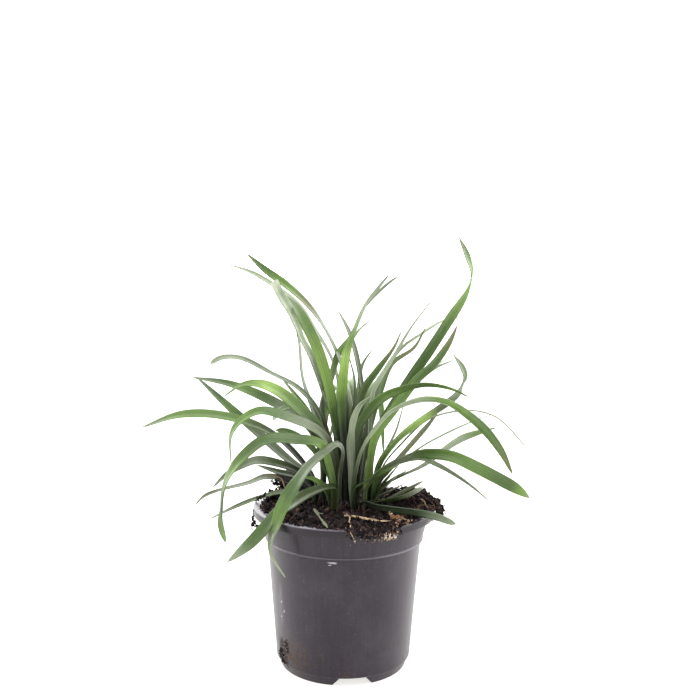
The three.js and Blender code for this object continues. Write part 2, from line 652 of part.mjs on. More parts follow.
function soilHeap() {
  const { count, firstAngle, lastAngle, smallest, largest, reach, lift, seed } = SOIL.heap;
  const random = seededRandom(seed);
  const lumps = [];
  for (let i = 0; i < count; i += 1) {
    const angle = radians(firstAngle + ((lastAngle - firstAngle) * i) / (count - 1));
    const size = random(smallest, largest);
    const radius = random(...reach);
    const [x, y] = [radius * Math.cos(angle), radius * Math.sin(angle)];
    lumps.push(lump(random, size, x, y, random(...lift)));
  }
  SOIL.overhang.forEach(([x, y, z, size]) => lumps.push(lump(random, size, x, y, z)));
  return lumps;
}

// The plain hole that a tuft's crown stands in.
function holeTool([x, y]) {
  const { radius, slack, foot, top, sides } = CROWN;
  const depth = 2 * (top - foot);
  const hole = new THREE.CylinderGeometry(radius + slack, radius + slack, depth, sides);
  return toSolid(hole.rotateX(Math.PI / 2).translate(x, y, foot - GAP + depth / 2));
}

function makeSoil(pockets) {
  const lumps = [...soilCrumbs(), ...soilHeap()].reduce((whole, piece) => whole.add(piece));
  const clearance = toSolid(lathe(potOutline(GAP), POT.sides));
  const solid = soilPlug().add(lumps.subtract(clearance));
  const tools = [...TUFTS.map(({ crown }) => holeTool(crown)), ...pockets];
  return fuse([tools.reduce((soil, tool) => soil.subtract(tool), solid)]);
}

// ---------------------------------------------------------------- what lies on the soil

// A flat ribbon along a list of points whose third value is a height above the soil when
// aboveSoil is set. The grow value widens it for the pocket that it lies in.
function ribbon(points, width, thickness, grow = 0, aboveSoil = false) {
  const path = points.map(([x, y, z]) => new THREE.Vector3(x, y, aboveSoil ? soilHeight(x, y) + z : z));
  const curve = new THREE.CatmullRomCurve3(path);
  const steps = 3 * (points.length - 1);
  const rings = [];
  for (let i = 0; i <= steps; i += 1) {
    const end = i === 0 ? -grow : Number(i === steps) * grow;
    const along = curve.getTangent(i / steps);
    const middle = curve.getPoint(i / steps).addScaledVector(along, end);
    const side = new THREE.Vector3().crossVectors(along, UP).normalize();
    const corner = (across, up) => middle.clone()
      .addScaledVector(side, across * (width / 2 + grow))
      .addScaledVector(UP, up * (thickness / 2 + grow));
    rings.push([corner(-1, 1), corner(1, 1), corner(1, -1), corner(-1, -1)]);
  }
  return toSolid(strip(rings));
}

function strawSolid(grow = 0) {
  const { main, branch, width, thickness } = STRAW;
  return fuse([main, branch].map((points) => ribbon(points, width, thickness, grow, true)));
}

function chipSolid({ at, size, angle, rise }, grow = 0) {
  const [length, width, height] = size.map((value) => value + 2 * grow);
  const chip = new THREE.BoxGeometry(length, width, height);
  chip.rotateZ(radians(angle));
  return toSolid(chip.translate(at[0], at[1], soilHeight(at[0], at[1]) + rise));
}

function litterSolid() {
  const { main, branch, width, thickness } = LITTER;
  return fuse([main, branch].map((points) => ribbon(points, width, thickness)));
}

// ---------------------------------------------------------------- leaves

// Share of its greatest width that a blade has at a share of its length.
function bladeWidth(along, blunt, taper) {
  const foot = THREE.MathUtils.smoothstep(along, 0.05, 0.5);
  const body = 0.56 + 0.44 * foot;
  const lost = blunt ? 0.3 * Math.max(0, (along - 0.7) / 0.3) ** 2
    : 0.88 * Math.max(0, (along - taper) / (1 - taper)) ** 2.2;
  return body * (1 - lost);
}

// One long leaf: a strip folded along its keel that follows the leaf's points.
function bladeSolid({ width, points, blunt, facing, underside, taper = BLADE.taper }, crown) {
  const [first] = points;
  const toFirst = new THREE.Vector2(first[0] - crown[0], first[1] - crown[1]);
  toFirst.setLength(Math.min(BLADE.rootOffset, toFirst.length()));
  const root = [crown[0] + toFirst.x, crown[1] + toFirst.y, BLADE.root, first[3]];
  const stations = [root, ...points];
  const curve = new THREE.CatmullRomCurve3(
    stations.map(([x, y, z]) => new THREE.Vector3(x, y, z)), false, "centripetal");
  const steps = Math.max(5, Math.round(curve.getLength() / BLADE.step));
  const rings = [];
  for (let i = 0; i <= steps; i += 1) {
    const share = i / steps;
    const t = curve.getUtoTmapping(share);
    const along = curve.getTangent(t);
    const place = t * (stations.length - 1);
    const near = Math.min(Math.floor(place), stations.length - 2);
    const turn = THREE.MathUtils.lerp(stations[near][3], stations[near + 1][3], place - near);
    const face = facing.clone().addScaledVector(along, -facing.dot(along)).normalize();
    face.applyAxisAngle(along, radians(turn));
    const side = new THREE.Vector3().crossVectors(along, face);
    const half = (width / 2) * bladeWidth(share, blunt, taper);
    const fold = radians(underside ? -BLADE.fold : BLADE.fold);
    const rise = half * Math.sin(fold);
    const corner = (across, depth) => curve.getPoint(t)
      .addScaledVector(side, across * half * Math.cos(fold))
      .addScaledVector(face, (Math.abs(across) - BLADE.sink) * rise + depth * BLADE.thickness / 2);
    rings.push([
      corner(-1, 1), corner(0, 1), corner(1, 1), corner(1, -1), corner(0, -1), corner(-1, -1),
    ]);
  }
  return toSolid(strip(rings));
}

// Leaves that arch away from a crown, spread over a range of angles.
function fanLeaves({ crown, fan }) {
  if (!fan) return [];
  const random = seededRandom(fan.seed);
  const leaves = [];
  for (let i = 0; i < fan.count; i += 1) {
    const share = i / (fan.count - 1);
    const angle = radians(THREE.MathUtils.lerp(fan.firstAngle, fan.lastAngle, share) + random(-3, 3));
    const [reach, apex, end] = [random(...fan.reach), random(...fan.apex), random(...fan.end)];
    const outward = new THREE.Vector3(Math.cos(angle), Math.sin(angle), 0);
    // The leaf faces across its arch, and a quarter turn lays its face upwards.
    const at = (distance, height, turn) => [
      crown[0] + outward.x * distance, crown[1] + outward.y * distance, height, 90 + turn,
    ];
    const roll = random(-28, 28);
    const points = [
      at(4, 92 + 0.25 * (apex - 92), roll / 2), at(0.2 * reach, 92 + 0.7 * (apex - 92), roll / 2),
      at(0.55 * reach, apex, roll), at(0.85 * reach, (2 * apex + end) / 3, roll),
      at(reach, end, 1.2 * roll),
    ];
    leaves.push(leaf(fan.width, points, { facing: UP.clone().cross(outward) }));
  }
  return leaves;
}

function crownSolid([x, y]) {
  const { radius, footRadius, topRadius, foot, waist, shoulder, top, sides } = CROWN;
  const outline = [
    [0, foot],
    [footRadius, foot],
    [radius, waist],
    [radius, shoulder],
    [topRadius, top],
    [0, top],
  ];
  return toSolid(lathe(outline, sides).translate(x, y, 0));
}

function tuftSolid(tuft) {
  const leaves = [...tuft.leaves, ...fanLeaves(tuft)];
  const blades = leaves.map((blade) => bladeSolid({ facing: FRONT, ...blade }, tuft.crown));
  return fuse([crownSolid(tuft.crown), ...blades]);
}

// ---------------------------------------------------------------- assembly

const plant = new THREE.Group();
const pockets = [strawSolid(GAP), ...CHIPS.map((chip) => chipSolid(chip, GAP))];

plant.add(part("pot", toGeometry(makePot()), "pot"));
plant.add(part("soil", toGeometry(makeSoil(pockets)), "soil"));
plant.add(part("straw", toGeometry(strawSolid()), "straw"));
CHIPS.forEach((chip) => plant.add(part(chip.name, toGeometry(chipSolid(chip)), "bark")));
plant.add(part("leaf_litter", toGeometry(litterSolid()), "litter"));
TUFTS.forEach((tuft) => plant.add(part(tuft.name, toGeometry(tuftSolid(tuft)), "leaf")));

const box = new THREE.Box3().setFromObject(plant, true);
const middle = box.getCenter(new THREE.Vector3());
plant.position.set(-middle.x, -middle.y, -box.min.z);

export default plant;
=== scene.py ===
"""A liriope in its round nursery pot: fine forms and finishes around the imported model.

Sizes in the classes are millimetres about the pot's axis, with +Z up and -Y to the front. The
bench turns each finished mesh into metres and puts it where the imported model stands.
"""

import logging
import math
import random
from collections.abc import Callable, Sequence
from dataclasses import dataclass, field
from enum import Enum

import bmesh
import bpy
from mathutils import Euler, Matrix, Vector, noise

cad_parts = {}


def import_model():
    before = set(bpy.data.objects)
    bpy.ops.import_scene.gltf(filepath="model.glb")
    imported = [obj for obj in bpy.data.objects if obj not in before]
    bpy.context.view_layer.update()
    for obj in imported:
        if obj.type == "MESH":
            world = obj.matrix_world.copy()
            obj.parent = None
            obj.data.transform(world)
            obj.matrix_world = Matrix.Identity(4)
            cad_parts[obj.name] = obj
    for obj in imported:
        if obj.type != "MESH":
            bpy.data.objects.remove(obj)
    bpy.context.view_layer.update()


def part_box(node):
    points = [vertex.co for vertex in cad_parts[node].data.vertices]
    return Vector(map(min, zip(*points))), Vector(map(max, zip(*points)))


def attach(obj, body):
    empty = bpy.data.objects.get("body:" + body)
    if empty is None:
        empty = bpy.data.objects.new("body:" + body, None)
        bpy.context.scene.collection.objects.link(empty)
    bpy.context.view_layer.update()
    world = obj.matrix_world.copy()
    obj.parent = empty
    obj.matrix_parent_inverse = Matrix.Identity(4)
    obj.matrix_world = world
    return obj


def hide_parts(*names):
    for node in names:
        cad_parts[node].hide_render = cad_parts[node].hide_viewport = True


LOG = logging.getLogger("liriope")

METRES = 0.001
FRONT = Vector((0, -1, 0))
UP = Vector((0, 0, 1))
FULL_TURN = 2 * math.pi
TONE_LAYER = "tone"
BLADE_LAYERS = ("across", "rib", "along", "leaf", "dry")


def linear(code: str) -> tuple[float, float, float]:
    """Turns a screen colour into the linear colour that shaders use, by the sRGB curve.

    Args:
        code: Six hexadecimal digits, such as "5f8a3f".

    Returns:
        Red, green and blue from 0 to 1.
    """
    shares = [int(code[i : i + 2], 16) / 255 for i in (0, 2, 4)]
    return tuple(s / 12.92 if s <= 0.04045 else ((s + 0.055) / 1.055) ** 2.4 for s in shares)


def ease(value: float, low: float, high: float) -> float:
    """Rises smoothly from 0 at low to 1 at high."""
    share = min(1.0, max(0.0, (value - low) / (high - low)))
    return share * share * (3 - 2 * share)


def around(angle: float, reach: float = 1.0, height: float = 0.0) -> Vector:
    """The point at an angle round the axis, in radians, a distance from it and a height."""
    return Vector((reach * math.cos(angle), reach * math.sin(angle), height))


class Tone(Enum):
    """Named colours of leaves, soil and litter in even daylight, and SHADE, a painted shade."""

    BLUSH = "4a332a"
    # Painted shade: the dark of leaf bases deep in the clump, where little light reaches.
    SHADE = "202a14"
    DUSK = "3b4922"
    PINE = "414f39"
    DEEP = "405726"
    GREEN = "567132"
    FRESH = "688537"
    LIME = "7f9b4b"
    # Bluish grey-green, which on two leaves at the front also paints the highlight of their sheen.
    MIST = "7d886e"
    OLIVE = "545932"
    SLATE = "636d55"
    PALE = "afb5a4"
    STRAW = "b7a383"
    BROWN = "5a463a"
    EARTH = "21191b"
    LOAM = "342826"
    PEAT = "130f11"
    BARK = "745340"
    TAN = "968069"
    EMBER = "a07858"
    CHALK = "aea59b"

    @property
    def color(self) -> Vector:
        """The tone as a linear colour."""
        return Vector(linear(self.value))


# A short name for the tables of tones.
T = Tone


class Tip(Enum):
    """How a leaf ends."""

    POINTED = "pointed"
    ROUND = "round"
    CUT = "cut"


# ---------- materials ----------


class Wire:
    """A value in a material. Arithmetic on it adds the Math nodes that work it out."""

    def __init__(self, shading: "Nodes", socket: bpy.types.NodeSocket) -> None:
        """Keeps the socket and the material that it belongs to."""
        self.shading = shading
        self.socket = socket

    def math(self, operation: str, left: "Wire | float", right: "Wire | float" = 0.0) -> "Wire":
        """Adds one Math node.

        Args:
            operation: The node's operation, such as "ADD".
            left: The first value.
            right: The second value.

        Returns:
            The node's result.
        """
        node = self.shading.add("ShaderNodeMath", {"operation": operation}, {0: left, 1: right})
        return Wire(self.shading, node.outputs[0])

    def __add__(self, other: "Wire | float") -> "Wire":
        """Adds."""
        return self.math("ADD", self, other)

    def __radd__(self, other: float) -> "Wire":
        """Adds to a number."""
        return self.math("ADD", other, self)

    def __sub__(self, other: "Wire | float") -> "Wire":
        """Subtracts."""
        return self.math("SUBTRACT", self, other)

    def __rsub__(self, other: float) -> "Wire":
        """Subtracts from a number."""
        return self.math("SUBTRACT", other, self)

    def __mul__(self, other: "Wire | float") -> "Wire":
        """Multiplies."""
        return self.math("MULTIPLY", self, other)

    def __rmul__(self, other: float) -> "Wire":
        """Multiplies a number."""
        return self.math("MULTIPLY", other, self)

    def __truediv__(self, other: "Wire | float") -> "Wire":
        """Divides."""
        return self.math("DIVIDE", self, other)

    def __abs__(self) -> "Wire":
        """Drops the sign."""
        return self.math("ABSOLUTE", self)

    def sine(self) -> "Wire":
        """Takes the sine."""
        return self.math("SINE", self)


class Nodes:
    """A node tree, with the few calls that the finishes and the light need."""

    def __init__(self, tree: bpy.types.NodeTree) -> None:
        """Keeps the tree."""
        self.tree = tree

    def add(
        self, kind: str, settings: dict | None = None, inputs: dict | None = None
    ) -> bpy.types.Node:
        """Adds any node.

        Args:
            kind: The node's type name.
            settings: The node's own properties, set first.
            inputs: Values or links for its sockets, by name or place.

        Returns:
            The node.
        """
        node = self.tree.nodes.new(kind)
        for key, value in (settings or {}).items():
            setattr(node, key, value)
        self.feed(node, inputs or {})
        return node

    def feed(self, node: bpy.types.Node, inputs: dict) -> None:
        """Sets or links a node's sockets.

        Args:
            node: The node that takes the values.
            inputs: Values, sockets or wires, by the socket's name or place.
        """
        for key, value in inputs.items():
            source = value.socket if isinstance(value, Wire) else value
            if isinstance(source, bpy.types.NodeSocket):
                self.tree.links.new(source, node.inputs[key])
            else:
                node.inputs[key].default_value = source

    def coordinates(self, kind: str) -> Wire:
        """A Texture Coordinate output, such as Object."""
        return Wire(self, self.add("ShaderNodeTexCoord").outputs[kind])

    def moved(
        self, vector: Wire, scale: Sequence[float] = (1, 1, 1), shift: Sequence[float] = (0, 0, 0)
    ) -> Wire:
        """Stretches and moves a vector.

        Args:
            vector: The vector.
            scale: Its factor along each axis.
            shift: What is added after that.

        Returns:
            The new vector.
        """
        inputs = {"Vector": vector, "Scale": tuple(scale), "Location": tuple(shift)}
        return Wire(self, self.add("ShaderNodeMapping", inputs=inputs).outputs[0])

    def parts(self, vector: Wire) -> tuple[Wire, Wire, Wire]:
        """Splits a vector into its three values."""
        node = self.add("ShaderNodeSeparateXYZ", inputs={0: vector})
        return tuple(Wire(self, output) for output in node.outputs)

    def joined(self, x: Wire | float, y: Wire | float, z: Wire | float) -> Wire:
        """Makes a vector of three values."""
        return Wire(self, self.add("ShaderNodeCombineXYZ", inputs={0: x, 1: y, 2: z}).outputs[0])

    def attribute(self, name: str, output: str = "Fac") -> Wire:
        """Reads a value that the mesh carries."""
        return Wire(self, self.add("ShaderNodeAttribute", {"attribute_name": name}).outputs[output])

    def noise(self, vector: Wire, scale: float, detail: float, roughness: float) -> Wire:
        """Adds a noise pattern.

        Args:
            vector: Where the pattern is read.
            scale: How fine it is, in waves to the unit of the vector.
            detail: How many finer layers it has.
            roughness: How strong the finer layers are.

        Returns:
            A value round 0.5.
        """
        inputs = {"Vector": vector, "Scale": scale, "Detail": detail, "Roughness": roughness}
        return Wire(self, self.add("ShaderNodeTexNoise", inputs=inputs).outputs[0])

    def ease(self, value: Wire, low: float, high: float) -> Wire:
        """Rises smoothly from 0 to 1.

        Args:
            value: The value that is eased.
            low: Where it starts to rise.
            high: Where it is full.

        Returns:
            The eased value.
        """
        settings = {"interpolation_type": "SMOOTHSTEP"}
        inputs = {"Value": value, "From Min": low, "From Max": high}
        return Wire(self, self.add("ShaderNodeMapRange", settings, inputs).outputs[0])

    def blend(
        self,
        first: "Wire | Sequence[float]",
        second: "Wire | Sequence[float]",
        factor: Wire | float,
        mode: str = "MIX",
    ) -> Wire:
        """Mixes two colours.

        Args:
            first: The colour where the factor is 0.
            second: The colour where the factor is 1.
            factor: The share of the second colour.
            mode: How they mix, such as "MULTIPLY".

        Returns:
            The mixed colour.
        """
        settings = {"data_type": "RGBA", "blend_type": mode}
        colors = [c if isinstance(c, Wire) else (*c, 1.0) for c in (first, second)]
        inputs = {0: factor, 6: colors[0], 7: colors[1]}
        return Wire(self, self.add("ShaderNodeMix", settings, inputs).outputs[2])

    def shaded(self, color: Wire, light: Wire) -> Wire:
        """Multiplies a colour by a brightness."""
        grey = self.add("ShaderNodeCombineColor", inputs={0: light, 1: light, 2: light})
        return self.blend(color, Wire(self, grey.outputs[0]), 1.0, "MULTIPLY")

    def bump(self, height: Wire, distance: float, strength: float) -> Wire:
        """Turns a height pattern into a surface normal.

        Args:
            height: The pattern, from 0 to 1.
            distance: What a height of 1 measures, in metres.
            strength: The share of the bump that shows.

        Returns:
            The normal.
        """
        inputs = {"Height": height, "Distance": distance, "Strength": strength}
        return Wire(self, self.add("ShaderNodeBump", inputs=inputs).outputs[0])


class Shading(Nodes):
    """One material with a Principled surface."""

    def __init__(self, name: str) -> None:
        """Starts the material.

        Args:
            name: Its name.
        """
        self.material = bpy.data.materials.new(name)
        self.material.use_nodes = True
        super().__init__(self.material.node_tree)
        self.tree.nodes.clear()
        self.surface = self.add("ShaderNodeBsdfPrincipled")
        self.add("ShaderNodeOutputMaterial", inputs={"Surface": self.surface.outputs[0]})

    def finish(self, **sockets: "Wire | float | Sequence[float]") -> bpy.types.Material:
        """Feeds the Principled surface.

        Args:
            **sockets: Its sockets, with underscores for the spaces in their names.

        Returns:
            The material.
        """
        for key, value in sockets.items():
            name = key.replace("_", " ").title().replace("Ior", "IOR")
            self.feed(self.surface, {name: value})
        return self.material


@dataclass(frozen=True)
class LeafFinish:
    """A satin leaf with fine parallel veins, a keel and paler margins.

    Widths are shares of half the blade, and the depth of the relief is in metres. The rest are
    shares of the brightness or the roughness.
    """

    roughness: float = 0.42
    sheen_level: float = 0.44
    vein_depth: float = 0.00007
    vein_contrast: float = 0.24
    mottle: float = 0.24
    streak: float = 0.28
    keel_width: float = 0.10
    # Painted shade: the groove along the keel is darkened by this share.
    keel_shade: float = 0.16
    margin_width: float = 0.10
    margin_light: float = 0.14
    dryness: float = 0.3

    def material(self) -> bpy.types.Material:
        """Builds the material, which reads the tone and the values that a blade carries.

        Returns:
            The material.
        """
        s = Shading("leaf_skin")
        across, rib, along, leaf, dry = (s.attribute(name) for name in BLADE_LAYERS)
        place = s.coordinates("Object")
        edge = abs(across)
        wave = (rib * FULL_TURN).sine() * 0.5 + 0.5
        keel = 1 - s.ease(edge, 0.0, self.keel_width)
        margin = s.ease(edge, 1 - self.margin_width, 1.0)
        mottle = s.noise(place, scale=260, detail=4, roughness=0.6)
        pores = s.noise(place, scale=1500, detail=2, roughness=0.5)
        lengthwise = s.joined(rib * 2.2, along * 0.05, leaf)
        streak = s.noise(lengthwise, scale=1, detail=3, roughness=0.6)
        light = 1 - self.vein_contrast / 2 + wave * self.vein_contrast
        light = light * (1 - self.mottle + mottle * (2 * self.mottle))
        light = light * (1 - self.streak / 2 + streak * self.streak)
        light = light * (1 - keel * self.keel_shade) * (1 + margin * self.margin_light)
        return s.finish(
            base_color=s.shaded(s.attribute(TONE_LAYER, "Color"), light),
            roughness=self.roughness - 0.06 + mottle * 0.16 + dry * self.dryness,
            normal=s.bump(wave * 0.6 + keel * -0.8 + pores * 0.5, self.vein_depth, 0.8),
            specular_ior_level=self.sheen_level,
        )


@dataclass(frozen=True)
class Stroke:
    """A soft oval mark on the pot's wall.

    Attributes:
        angle: Its middle, in degrees round the axis.
        height: Its middle height, in millimetres.
        half_turn: Half its width, in degrees.
        half_height: Half its height, in millimetres.
        lean: How far its angle shifts, in degrees, for a millimetre of height.
    """

    CORE = 0.35

    angle: float
    height: float
    half_turn: float
    half_height: float
    lean: float = 0.0

    def mask(self, s: Shading, turn: Wire, height: Wire) -> Wire:
        """Masks the mark.

        Args:
            s: The material.
            turn: The angle round the axis, in radians.
            height: The height, in metres.

        Returns:
            1 in the mark's middle and 0 outside it.
        """
        up = (height * (1 / METRES) - self.height) / self.half_height
        aside = turn * (180 / math.pi) - self.angle - up * (self.lean * self.half_height)
        side = aside / self.half_turn
        return 1 - s.ease(up * up + side * side, self.CORE, 1.0)


@dataclass(frozen=True)
class PotFinish:
    """Black moulded plastic with a soft sheen, dust, dried splashes and fine scratches.

    Heights and the relief are in metres here, because the material reads metres.
    """

    color: str = "1b101d"
    collar: str = "1b111d"
    # Painted shade: the lip's skirt is coloured darker than the same plastic elsewhere.
    shaded_band: str = "120813"
    dust: str = "8f888f"
    # Painted highlight: the light lilac line along the ledge and over the top of the lip.
    highlight_lilac: str = "a89fae"
    mud: str = "45301f"
    stain: str = "20150f"
    roughness: float = 0.30
    sheen_level: float = 0.36
    relief: float = 0.00010
    wrap_radius: float = 0.045
    ledge: tuple[float, float] = (0.0752, 0.0756)
    ledge_highlight: tuple[float, float, float, float] = (0.0746, 0.0749, 0.0754, 0.0758)
    skirt_foot: tuple[float, float] = (0.0884, 0.0888)
    lip_edge: tuple[float, float] = (0.0924, 0.0927)
    mud_fade: tuple[float, float] = (0.002, 0.030)
    scuffs: tuple[Stroke, ...] = (
        Stroke(-98.0, 72.8, 4.0, 0.42, 2.6),
        Stroke(-97.4, 72.4, 3.2, 0.42, -2.6),
        Stroke(-99.6, 71.3, 1.5, 0.35, 0.8),
        Stroke(-146.0, 43.0, 1.1, 0.9, 1.0),
        Stroke(-143.0, 38.0, 0.8, 1.2, 0.5),
        Stroke(-147.5, 34.0, 0.9, 0.7, 1.0),
    )
    smear: Stroke = Stroke(-133, 13, 18, 13)
    crust: Stroke = Stroke(-149, 11, 9, 11)
    haze: Stroke = Stroke(-147, 41, 5, 15, 0.1)

    def material(self, axis: Vector) -> bpy.types.Material:
        """Builds the material.

        Args:
            axis: A point on the pot's axis, in metres.

        Returns:
            The material.
        """
        s = Shading("pot_plastic")
        place = s.moved(s.coordinates("Object"), shift=(-axis.x, -axis.y, 0))
        x, y, z = s.parts(place)
        turn = x.math("ARCTAN2", y, x)
        wrap = s.joined(turn * self.wrap_radius, z, 0.0)

        def stretched(
            scale: Sequence[float], shift: Sequence[float], detail: float, roughness: float
        ) -> Wire:
            """A noise pattern that is drawn out round the wall or along it."""
            return s.noise(s.moved(wrap, scale, shift), 1.0, detail, roughness)

        cloud = s.noise(place, scale=34, detail=5, roughness=0.62)
        speck = s.noise(place, scale=900, detail=2, roughness=0.5)
        grain = stretched((420, 42, 1), (0, 0, 0), 3, 0.55)
        upright = stretched((1500, 60, 1), (3.1, 0.4, 0), 1, 0.4)
        level = stretched((260, 900, 1), (1.7, 5.2, 0), 1, 0.4)
        scratch = s.ease(upright, 0.70, 0.76) * 0.5 + s.ease(level, 0.73, 0.78) * 0.5
        streak = s.ease(stretched((900, 26, 1), (0.3, 2.4, 0), 3, 0.6), 0.35, 0.8)

        lip = s.ease(z, *self.lip_edge)
        skirt = s.ease(z, *self.skirt_foot) * (1 - lip)
        upper = s.ease(z, *self.ledge) * (1 - skirt)
        # The painted highlight runs along the ledge and over the top of the lip.
        highlight_low, highlight_high = self.ledge_highlight[:2], self.ledge_highlight[2:]
        line = s.ease(z, *highlight_low) * (1 - s.ease(z, *highlight_high)) + lip

        dusty = s.ease(cloud, 0.42, 0.80) * 0.06 + s.ease(speck, 0.64, 0.74) * 0.10
        dusty = (dusty + (0.5 + upper * 0.5) * streak * 0.035) * (1 - skirt)
        for scuff in self.scuffs:
            dusty = dusty + scuff.mask(s, turn, z)
        dusty = dusty + self.haze.mask(s, turn, z) * streak * 0.35

        splash = s.ease(s.noise(place, scale=120, detail=5, roughness=0.7), 0.56, 0.68)
        mud = splash * (1 - s.ease(z, *self.mud_fade))
        blot = s.ease(s.noise(place, scale=300, detail=4, roughness=0.7), 0.40, 0.55)
        smear = self.smear.mask(s, turn, z) * blot * 0.3
        flecks = s.ease(s.noise(place, scale=420, detail=3, roughness=0.6), 0.40, 0.50)
        crust = self.crust.mask(s, turn, z) * flecks

        base = s.blend(linear(self.color), linear(self.collar), upper)
        for color, share in (
            # Painted shade on the lip's skirt.
            (self.shaded_band, skirt),
            (self.highlight_lilac, line * (cloud * 0.32)),
            (self.dust, dusty + scratch * (1 - skirt) * 0.10),
            (self.mud, mud * 0.7 + smear),
            (self.stain, crust),
        ):
            base = s.blend(base, linear(color), share)
        rough = self.roughness + cloud * 0.10 + dusty * 0.25 + mud * 0.3
        height = grain * 0.5 + speck * 0.12 - scratch * 0.4 + mud * 0.6
        return s.finish(
            base_color=base,
            roughness=rough + crust * 0.45 + smear * 0.3,
            normal=s.bump(height, self.relief, 0.5),
            specular_ior_level=self.sheen_level,
        )


@dataclass(frozen=True)
class CrumbFinish:
    """Damp potting mix, dry fibre, bark or perlite, coloured by the mesh's own tone."""

    name: str
    scale: float = 700.0
    coarser: float = 0.22
    contrast: float = 0.55
    roughness: float = 0.9
    relief: float = 0.0005
    sheen_level: float = 0.12

    def material(self) -> bpy.types.Material:
        """Builds the material.

        Returns:
            The material.
        """
        s = Shading(self.name)
        place = s.coordinates("Object")
        fine = s.noise(place, self.scale, detail=5, roughness=0.65)
        broad = s.noise(place, self.scale * self.coarser, detail=3, roughness=0.6)
        light = (1 - self.contrast) + (fine + broad) * self.contrast
        return s.finish(
            base_color=s.shaded(s.attribute(TONE_LAYER, "Color"), light),
            roughness=self.roughness - 0.15 + fine * 0.3,
            normal=s.bump(fine * 0.7 + broad * 0.5, self.relief, 0.8),
            specular_ior_level=self.sheen_level,
        )


# ---------- making meshes ----------


@dataclass
class Bench:
    """Turns meshes made in millimetres about the pot's axis into pieces of the part."""

    SMOOTH = 180.0

    axis: Vector
    pieces: list[bpy.types.Object] = field(default_factory=list)

    @property
    def seat(self) -> Matrix:
        """What takes millimetres about the pot's axis to the part's own metres."""
        return Matrix.Translation(self.axis) @ Matrix.Scale(METRES, 4)

    def place(self, mesh: bmesh.types.BMesh, name: str) -> bpy.types.Object:
        """Makes an object of a finished mesh at its place in the part.

        Args:
            mesh: The mesh, in millimetres about the pot's axis. It is used up.
            name: The object's name.

        Returns:
            The object.
        """
        mesh.transform(self.seat)
        data = bpy.data.meshes.new(name)
        mesh.to_mesh(data)
        mesh.free()
        made = bpy.data.objects.new(name, data)
        bpy.context.scene.collection.objects.link(made)
        return made

    def put(
        self,
        mesh: bmesh.types.BMesh,
        name: str,
        material: bpy.types.Material,
        slot: str,
        nodes: Sequence[str],
        crease: float = SMOOTH,
    ) -> bpy.types.Object:
        """Makes a piece of the part that stands for some of its solids.

        Args:
            mesh: The mesh, in millimetres about the pot's axis. It is used up.
            name: The piece's name.
            material: Its finish.
            slot: Not used.
            nodes: The solids that it stands for.
            crease: The angle, in degrees, past which an edge stays sharp.

        Returns:
            The piece.
        """
        piece = self.place(mesh, name)
        piece.data.shade_smooth()
        if crease < self.SMOOTH:
            piece.data.set_sharp_from_angle(angle=math.radians(crease))
        piece.data.materials.append(material)
        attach(piece, "root")
        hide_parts(*nodes)
        self.pieces.append(piece)
        return piece

    def report(self) -> None:
        """Logs each piece with its number of triangles."""
        graph = bpy.context.evaluated_depsgraph_get()
        for piece in self.pieces:
            data = piece.evaluated_get(graph).to_mesh()
            data.calc_loop_triangles()
            LOG.info("%s: %d triangles", piece.name, len(data.loop_triangles))
            piece.evaluated_get(graph).to_mesh_clear()


class Spine:
    """A smooth line through stations, measured along its own length."""

    SAMPLES = 240
    SHORTEST = 1e-4
    STEP = 1e-3

    def __init__(self, stations: Sequence[Vector]) -> None:
        """Lays the line.

        Args:
            stations: The points that it passes through.
        """
        self.stations = list(stations)
        places = [self.point(i / self.SAMPLES) for i in range(self.SAMPLES + 1)]
        self.lengths = [0.0]
        for near, far in zip(places, places[1:]):
            self.lengths.append(self.lengths[-1] + (far - near).length)

    @property
    def length(self) -> float:
        """The length of the whole line."""
        return self.lengths[-1]

    def point(self, t: float) -> Vector:
        """Gives a point of the line, a centripetal Catmull-Rom curve.

        Args:
            t: The share of the stations passed, from 0 to 1.

        Returns:
            The point.
        """
        last = len(self.stations) - 1
        near = min(int(t * last), last - 1)
        share = t * last - near
        p1, p2 = self.stations[near], self.stations[near + 1]
        p0 = self.stations[near - 1] if near > 0 else 2 * p1 - p2
        p3 = self.stations[near + 2] if near + 2 <= last else 2 * p2 - p1
        d1 = max((p2 - p1).length ** 0.5, self.SHORTEST)
        d0 = (p1 - p0).length ** 0.5 or d1
        d2 = (p3 - p2).length ** 0.5 or d1
        m1 = ((p1 - p0) / d0 - (p2 - p0) / (d0 + d1) + (p2 - p1) / d1) * d1
        m2 = ((p2 - p1) / d1 - (p3 - p1) / (d1 + d2) + (p3 - p2) / d2) * d1
        square, cube = share**2, share**3
        return (
            p1
            + m1 * share
            + (3 * (p2 - p1) - 2 * m1 - m2) * square
            + (2 * (p1 - p2) + m1 + m2) * cube
        )

    def tangent(self, t: float) -> Vector:
        """The line's direction at a share of its stations."""
        before, after = max(0.0, t - self.STEP), min(1.0, t + self.STEP)
        return (self.point(after) - self.point(before)).normalized()

    def passed(self, share: float) -> float:
        """Turns a share of the length into a share of the stations.

        Args:
            share: The share of the line's length, from 0 to 1.

        Returns:
            The share of the stations passed.
        """
        goal = share * self.length
        low, high = 0, self.SAMPLES
        while high - low > 1:
            middle = (low + high) // 2
            low, high = (middle, high) if self.lengths[middle] <= goal else (low, middle)
        span = self.lengths[high] - self.lengths[low]
        return (low + (goal - self.lengths[low]) / max(span, 1e-9)) / self.SAMPLES


